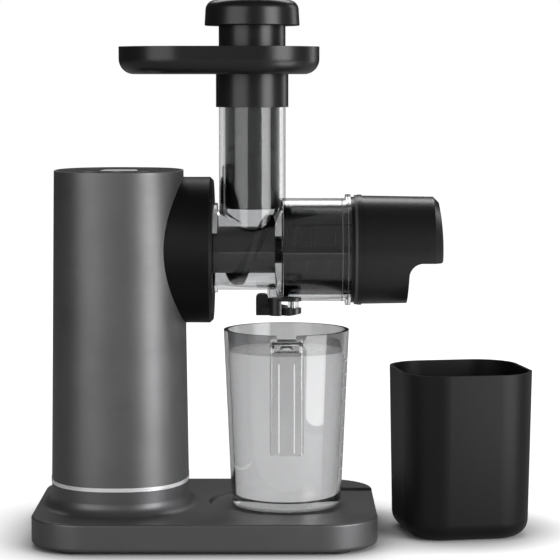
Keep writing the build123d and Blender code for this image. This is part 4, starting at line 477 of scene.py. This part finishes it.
# --- shape helpers --------------------------------------------------------------
def finished(name, shape, material, body, smooth=True):
    """Writes a bmesh into a new piece that rides on a body."""
    bmesh.ops.remove_doubles(shape, verts=shape.verts, dist=1e-7)
    bmesh.ops.recalc_face_normals(shape, faces=shape.faces)
    mesh = bpy.data.meshes.new(name)
    shape.to_mesh(mesh)
    shape.free()
    for polygon in mesh.polygons:
        polygon.use_smooth = smooth
    piece = bpy.data.objects.new(name, mesh)
    bpy.context.scene.collection.objects.link(piece)
    mesh.materials.append(material)
    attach(piece, body)
    return piece


def spun(shape, profile, centre):
    """Turns an open outline of (radius, height) points about an upright axis at centre."""
    verts = [shape.verts.new((centre.x + radius, centre.y, height)) for radius, height in profile]
    edges = [shape.edges.new(pair) for pair in zip(verts, verts[1:])]
    bmesh.ops.spin(shape, geom=verts + edges, cent=(centre.x, centre.y, 0), axis=(0, 0, 1),
                   angle=2 * math.pi, steps=ROUND_STEPS, use_merge=True)


def bar(shape, matrix, size, bevel=0.25):
    """A small box with rounded edges, placed by a matrix."""
    made = bmesh.ops.create_cube(shape, size=1.0, matrix=matrix @ Matrix.Diagonal((*size, 1.0)))
    edges = list({edge for vert in made["verts"] for edge in vert.link_edges})
    bmesh.ops.bevel(shape, geom=edges, offset=bevel * min(size), offset_type="OFFSET", segments=2,
                    profile=0.5, affect="EDGES", material=-1)


def jug_top_radius():
    low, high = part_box("juice_jug")
    return (high.x - low.x) / 2


def jug_radius(height):
    """The jug's outer radius at a height, between its foot and its rim."""
    low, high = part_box("juice_jug")
    share = (height - low.z) / (high.z - low.z)
    return JUG_FOOT + share * (jug_top_radius() - JUG_FOOT)


def jug_centre():
    low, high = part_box("juice_jug")
    return Vector(((low.x + high.x) / 2, 0.0, 0.0))


# --- operators ------------------------------------------------------------------
class JUICER_OT_finish_nodes(bpy.types.Operator):
    """Give every CAD node the finish of its slot, or a finish of its own"""
    bl_idname = "juicer.finish_nodes"
    bl_label = "Finish the moulded and metal parts"

    def execute(self, context):
        colours = context.scene.juicer_colours
        finishes = {
            "graphite_metal": brushed_graphite(colours.tower),
            "base_metal": coated_base(colours.base),
            "black_plastic": moulded_black("black_plastic", colours.shell, 0.3, grain=0.00002),
            "matte_black": moulded_black("matte_black", colours.matte, 0.5, grain=0.00004),
            "trim_chrome": polished_trim(colours.trim),
            "clear_plastic": jug_plastic(colours.jug),
            "window": frosted_window_painted_glow(colours.window),
            "rubber": soft_rubber(),
            "clear_seal": clear_seal(),
            "steel": metal("steel", (0.55, 0.55, 0.56), 0.28, (12, 1, 1)),
            "sheet_steel": metal("sheet_steel", (0.4, 0.41, 0.43), 0.35, (8, 1, 1)),
            "bronze": metal("bronze", (0.5, 0.33, 0.14), 0.4, pits=0.00006),
            "cast_alloy": metal("cast_alloy", (0.55, 0.56, 0.57), 0.5, scale=700, pits=0.0001),
            "copper": winding_copper(),
            "magnet": metal("magnet", (0.06, 0.06, 0.065), 0.6, scale=500, pits=0.00006),
            "circuit": circuit_board(),
            "nylon": nylon(),
        }
        own_finishes = {
            "drum_housing": drum_plastic(colours.drum),
            "auger": dull_black_and_painted_shade("screw_black", colours.screw, 0.35),
            # Painted shade: the drum's mount and the pulp cup take the darker black of the inside parts
            # (the cup at 0.7 of it) in place of their own black plastic.
            "drum_mount": dull_black_and_painted_shade("mount_black", colours.screw, 0.12),
            "pulp_cup": dull_black_and_painted_shade("cup_black", shade(colours.screw, 0.7), 0.2),
            "strainer_frame": dull_black_and_painted_shade("strainer_black", colours.screw, 0.12),
            "strainer_mesh": perforated_steel(),
        }
        for name, node in NODES.items():
            node.data.materials.clear()
            node.data.materials.append(own_finishes.get(name) or finishes[SLOT_OF_NODE[name]])
        return {"FINISHED"}


class JUICER_OT_pour_juice(bpy.types.Operator):
    """Fill the jug with juice up to its level"""
    bl_idname = "juicer.pour_juice"
    bl_label = "Pour the juice"

    def execute(self, context):
        sizes = context.scene.juicer_sizes
        low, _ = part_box("juice_jug")
        inset = sizes.jug_wall + sizes.juice_gap
        foot = low.z + sizes.jug_floor + sizes.juice_gap
        top = sizes.juice_top
        profile = [(0.0, foot), (jug_radius(foot) - inset - JUICE_CORNER, foot)]
        for step in range(1, CORNER_PARTS + 1):
            angle = math.radians(90 * step / CORNER_PARTS)
            profile.append((jug_radius(foot) - inset - JUICE_CORNER * (1 - math.sin(angle)),
                            foot + JUICE_CORNER * (1 - math.cos(angle))))
        profile.append((jug_radius(top + sizes.meniscus) - inset, top + sizes.meniscus))
        for share in MENISCUS_SHARES:
            climb = sizes.meniscus * (1 - share) ** 2
            inward = MENISCUS_REACH * sizes.meniscus * share
            profile.append((jug_radius(top) - inset - inward, top + climb))
        profile.append((0.0, top))
        shape = bmesh.new()
        spun(shape, profile, jug_centre())
        juice = juice_painted_glow(context.scene.juicer_colours.juice)
        finished("juice", shape, juice, "jug")
        return {"FINISHED"}


class JUICER_OT_mark_jug(bpy.types.Operator):
    """Add the jug's measuring scale as small raised marks"""
    bl_idname = "juicer.mark_jug"
    bl_label = "Mark the jug's scale"

    def execute(self, context):
        sizes = context.scene.juicer_sizes
        shape = bmesh.new()
        for step in range(MARKS):
            height = MARK_FIRST + MARK_STEP * step
            wide = sizes.mark_length * (LONG_MARK if step % 2 == 0 else 1.0)
            place = Matrix.Translation(jug_centre() + Vector((0, 0, height)))
            place = place @ Matrix.Rotation(MARK_TURN, 4, "Z")
            place = place @ Matrix.Translation((jug_radius(height), 0, 0))
            bar(shape, place, (2 * sizes.mark_depth, wide, sizes.mark_height))
        grey = printed_mark("scale_print", (0.75, 0.75, 0.75))
        finished("jug_scale", shape, grey, "jug", smooth=False)
        return {"FINISHED"}


class JUICER_OT_rib_handle(bpy.types.Operator):
    """Add two upright ribs to the front of the jug's handle"""
    bl_idname = "juicer.rib_handle"
    bl_label = "Rib the jug's handle"

    def execute(self, context):
        sizes = context.scene.juicer_sizes
        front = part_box("juice_jug")[0].y
        foot = min(vert.co.z for vert in NODES["juice_jug"].data.vertices
                   if vert.co.y < front + sizes.rib_width)
        shape = bmesh.new()
        for side in (-1, 1):
            corner = Vector((jug_centre().x + side * sizes.rib_place, front, foot + HANDLE_ROUND))
            place = Matrix.Translation(corner) @ Matrix.Rotation(-HANDLE_LEAN, 4, "X")
            place = place @ Matrix.Translation((0, 0, sizes.rib_length / 2))
            bar(shape, place, (sizes.rib_width, sizes.rib_width / 2, sizes.rib_length))
        pale = printed_mark("rib_plastic", (0.8, 0.8, 0.8))
        finished("handle_ribs", shape, pale, "jug", smooth=False)
        return {"FINISHED"}


class JUICER_OT_line_drum(bpy.types.Operator):
    """Add the mould seams along the drum, and next to its cap two grey ring lines as painted highlights
    """
    bl_idname = "juicer.line_drum"
    bl_label = "Line the drum"

    def execute(self, context):
        sizes = context.scene.juicer_sizes
        start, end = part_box("drum_mount")[1].x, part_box("front_cap")[0].x
        self.seams(sizes, start, end)
        self.ring_highlights(sizes, end)
        return {"FINISHED"}

    @staticmethod
    def seams(sizes, start, end):
        axis_z = NODES_CENTRE["auger"].z
        throat = (start + THROAT_ENDS[0], start + THROAT_ENDS[1], THROAT_RADIUS)
        barrel = (start + BARREL_ENDS[0], end - BARREL_ENDS[1], BARREL_RADIUS)
        shape = bmesh.new()
        for side in (-1, 1):
            for low, high, radius in (throat, barrel):
                place = Matrix.Translation(((low + high) / 2, side * radius, axis_z))
                bar(shape, place, (high - low, 2 * sizes.seam_depth, sizes.seam_height))
        dark = printed_mark("seam_plastic", (0.12, 0.12, 0.12))
        finished("drum_seam", shape, dark, "drum", smooth=False)

    @staticmethod
    def ring_highlights(sizes, end):
        """Square lines turned about the drum's axis, as painted highlights where a ring's edges next to
        the cap would catch the light.
        """
        axis_z = NODES_CENTRE["auger"].z
        wide, deep = sizes.seam_height, sizes.seam_depth
        outline = ((0.0, 0.0), (0.0, deep), (wide, deep), (wide, 0.0))
        shape = bmesh.new()
        for behind in RING_HIGHLIGHTS_FROM_CAP:
            corners = [shape.verts.new((end - behind + across, 0.0, axis_z + BARREL_RADIUS + out))
                       for across, out in outline]
            edges = [shape.edges.new((corners[index - 1], corners[index])) for index in range(4)]
            bmesh.ops.spin(shape, geom=corners + edges, cent=(0.0, 0.0, axis_z), axis=(1, 0, 0),
                           angle=2 * math.pi, steps=ROUND_STEPS, use_merge=True)
        # Painted highlight: grey lines stand for the light caught on the edges of a ring next to the
        # cap.
        grey = printed_mark("ring_plastic", (0.2, 0.2, 0.2))
        finished("drum_rings", shape, grey, "drum")


class JUICER_OT_mark_buttons(bpy.types.Operator):
    """Put a plain symbol on each button"""
    bl_idname = "juicer.mark_buttons"
    bl_label = "Mark the buttons"

    def execute(self, context):
        sizes = context.scene.juicer_sizes
        white = printed_mark("button_print", (0.7, 0.7, 0.7))
        buttons = (("power_button", "power_key", self.power),
                   ("start_button", "start_key", self.start),
                   ("reverse_button", "reverse_key", self.reverse))
        for node, body, draw in buttons:
            low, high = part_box(node)
            centre = Vector(((low.x + high.x) / 2, (low.y + high.y) / 2, high.z))
            shape = bmesh.new()
            draw(shape, centre, sizes)
            symbol = node.replace("button", "symbol")
            finished(symbol, shape, white, body, smooth=False)
        return {"FINISHED"}

    @staticmethod
    def arc(shape, centre, radius, line, start, end):
        """A line bent round the centre, from one angle in degrees to another."""
        for step in range(ARC_PARTS):
            angle = math.radians(start + (end - start) * (step + 0.5) / ARC_PARTS)
            place = Matrix.Translation(centre) @ Matrix.Rotation(angle, 4, "Z")
            place = place @ Matrix.Translation((radius, 0, 0))
            reach = radius * math.radians(abs(end - start) / ARC_PARTS) * ARC_OVERLAP
            bar(shape, place, (2 * line, reach, ICON_DEPTH), ICON_BEVEL)

    def power(self, shape, centre, sizes):
        """An open ring with a stroke in its gap."""
        self.arc(shape, centre, sizes.icon_size, sizes.icon_line, 125, 415)
        bar(shape, Matrix.Translation(centre + Vector((0, sizes.icon_size * 0.75, 0))),
            (2 * sizes.icon_line, sizes.icon_size * 1.1, ICON_DEPTH), ICON_BEVEL)

    def start(self, shape, centre, sizes):
        """The outline of a triangle that points to the right."""
        for side in (-1, 1):
            place = Matrix.Translation(centre) @ Matrix.Rotation(side * math.radians(30), 4, "Z")
            place = place @ Matrix.Translation((0, -side * sizes.icon_size * 0.45, 0))
            bar(shape, place, (sizes.icon_size * 1.7, 2 * sizes.icon_line, ICON_DEPTH), ICON_BEVEL)
        bar(shape, Matrix.Translation(centre - Vector((sizes.icon_size * 0.78, 0, 0))),
            (2 * sizes.icon_line, sizes.icon_size * 1.8, ICON_DEPTH), ICON_BEVEL)

    def reverse(self, shape, centre, sizes):
        """A bent arrow."""
        self.arc(shape, centre, sizes.icon_size, sizes.icon_line, -60, 200)
        for side in (-1, 1):
            tip = Vector((-sizes.icon_size * 0.94, -sizes.icon_size * 0.34, 0))
            place = Matrix.Translation(centre + tip)
            place = place @ Matrix.Rotation(math.radians(70 + side * 42), 4, "Z")
            place = place @ Matrix.Translation((sizes.icon_size * 0.4, 0, 0))
            bar(shape, place, (sizes.icon_size * 0.9, 2 * sizes.icon_line, ICON_DEPTH), ICON_BEVEL)


class JUICER_OT_set_stage(bpy.types.Operator):
    """Set up the floor, the backdrop, the lights and the camera"""
    bl_idname = "juicer.set_stage"
    bl_label = "Set the stage"

    def execute(self, context):
        stage = context.scene.juicer_stage
        self.floor()
        self.world(context.scene)
        for name, place, size in LAMPS:
            self.lamp(f"{name}_light", place, size, getattr(stage, f"{name}_power"))
        self.camera(context.scene, stage)
        context.scene.view_settings.view_transform = "Standard"
        return {"FINISHED"}

    @staticmethod
    def seen_white(nodes, links):
        """1 where the ray comes straight from the camera or through clear plastic."""
        path = nodes.new("ShaderNodeLightPath")
        most = nodes.new("ShaderNodeMath")
        most.operation = "MAXIMUM"
        links.new(path.outputs["Is Camera Ray"], most.inputs[0])
        links.new(path.outputs["Is Transmission Ray"], most.inputs[1])
        return most.outputs["Value"]

    def floor(self):
        shape = bmesh.new()
        bmesh.ops.create_grid(shape, x_segments=1, y_segments=1, size=FLOOR_REACH)
        mesh = bpy.data.meshes.new("floor")
        shape.to_mesh(mesh)
        shape.free()
        mesh.materials.append(self.pale_floor())
        ground = bpy.data.objects.new("floor", mesh)
        bpy.context.scene.collection.objects.link(ground)

    def pale_floor(self):
        """A pale floor that the camera sees as white, but for the shade next to what stands on it."""
        made = Finish("floor", (FLOOR_GREY, FLOOR_GREY, FLOOR_GREY), 0.9, Specular_IOR_Level=0.1)
        reach = made.node("ShaderNodeVectorMath", operation="LENGTH")
        made.link(made.place, reach.inputs[0])
        white = made.node("ShaderNodeMapRange")
        for end, (distance, strength) in (("Min", FLOOR_NEAR), ("Max", FLOOR_FAR)):
            white.inputs[f"From {end}"].default_value = distance
            white.inputs[f"To {end}"].default_value = strength
        made.link(reach.outputs["Value"], white.inputs["Value"])
        shut = made.node("ShaderNodeAmbientOcclusion")
        shut.inputs["Distance"].default_value = SHADOW_REACH
        deep = made.node("ShaderNodeMath", operation="POWER")
        deep.inputs[1].default_value = SHADOW_DEPTH
        made.link(shut.outputs["AO"], deep.inputs[0])
        shaded = made.product(white.outputs["Result"], deep.outputs["Value"])
        seen = self.seen_white(made.tree.nodes, made.tree.links)
        glow = made.node("ShaderNodeEmission")
        made.link(made.product(seen, shaded), glow.inputs["Strength"])
        both = made.node("ShaderNodeAddShader")
        made.link(made.shader.outputs["BSDF"], both.inputs[0])
        made.link(glow.outputs["Emission"], both.inputs[1])
        made.link(both.outputs["Shader"], made.tree.nodes["Material Output"].inputs["Surface"])
        return made.material

    def world(self, scene):
        world = bpy.data.worlds.new("backdrop")
        world.use_nodes = True
        nodes, links = world.node_tree.nodes, world.node_tree.links
        background = nodes["Background"]
        background.inputs["Color"].default_value = (1, 1, 1, 1)
        strength = nodes.new("ShaderNodeMapRange")
        strength.inputs["To Min"].default_value = WORLD_LEVEL
        strength.inputs["To Max"].default_value = 1.0
        links.new(self.seen_white(nodes, links), strength.inputs["Value"])
        links.new(strength.outputs["Result"], background.inputs["Strength"])
        scene.world = world

    @staticmethod
    def lamp(name, place, size, watts):
        data = bpy.data.lights.new(name, "AREA")
        data.shape = "RECTANGLE"
        data.size, data.size_y = size
        data.energy = watts
        made = bpy.data.objects.new(name, data)
        made.location = place
        made.visible_camera = False
        aim = LAMP_AIM - Vector(place)
        made.rotation_euler = aim.to_track_quat("-Z", "Y").to_euler()
        bpy.context.scene.collection.objects.link(made)

    @staticmethod
    def camera(scene, stage):
        data = bpy.data.cameras.new("camera")
        data.sensor_width = 36.0
        data.lens = stage.camera_lens
        made = bpy.data.objects.new("camera", data)
        made.location = (stage.camera_side, -stage.camera_distance, stage.camera_height)
        made.rotation_euler = (math.pi / 2 - stage.camera_tilt, 0.0, 0.0)
        scene.collection.objects.link(made)
        scene.camera = made


class JUICER_PT_panel(bpy.types.Panel):
    """The juicer's steps, in order"""
    bl_idname = "JUICER_PT_panel"
    bl_label = "Cold press juicer"
    bl_space_type = "VIEW_3D"
    bl_region_type = "UI"
    bl_category = "Juicer"

    def draw(self, context):
        for step in STEPS:
            self.layout.operator(step.bl_idname)
        for group in ("juicer_sizes", "juicer_colours", "juicer_stage"):
            settings = getattr(context.scene, group)
            box = self.layout.box()
            for name in settings.bl_rna.properties.keys():
                if name not in ("rna_type", "name"):
                    box.prop(settings, name)


STEPS = (JUICER_OT_finish_nodes, JUICER_OT_pour_juice, JUICER_OT_mark_jug, JUICER_OT_rib_handle,
         JUICER_OT_line_drum, JUICER_OT_mark_buttons, JUICER_OT_set_stage)
GROUPS = {"juicer_sizes": JuicerSizes, "juicer_colours": JuicerColours, "juicer_stage": JuicerStage}


def register():
    for group in GROUPS.values():
        bpy.utils.register_class(group)
    for name, group in GROUPS.items():
        setattr(bpy.types.Scene, name, bpy.props.PointerProperty(type=group))
    for step in STEPS:
        bpy.utils.register_class(step)
    bpy.utils.register_class(JUICER_PT_panel)


def unregister():
    bpy.utils.unregister_class(JUICER_PT_panel)
    for step in reversed(STEPS):
        bpy.utils.unregister_class(step)
    for name in GROUPS:
        delattr(bpy.types.Scene, name)
    for group in reversed(GROUPS.values()):
        bpy.utils.unregister_class(group)


def main():
    register()
    bpy.ops.juicer.finish_nodes()
    bpy.ops.juicer.pour_juice()
    bpy.ops.juicer.mark_jug()
    bpy.ops.juicer.rib_handle()
    bpy.ops.juicer.line_drum()
    bpy.ops.juicer.mark_buttons()
    bpy.ops.juicer.set_stage()


if __name__ == "__main__":
    main()
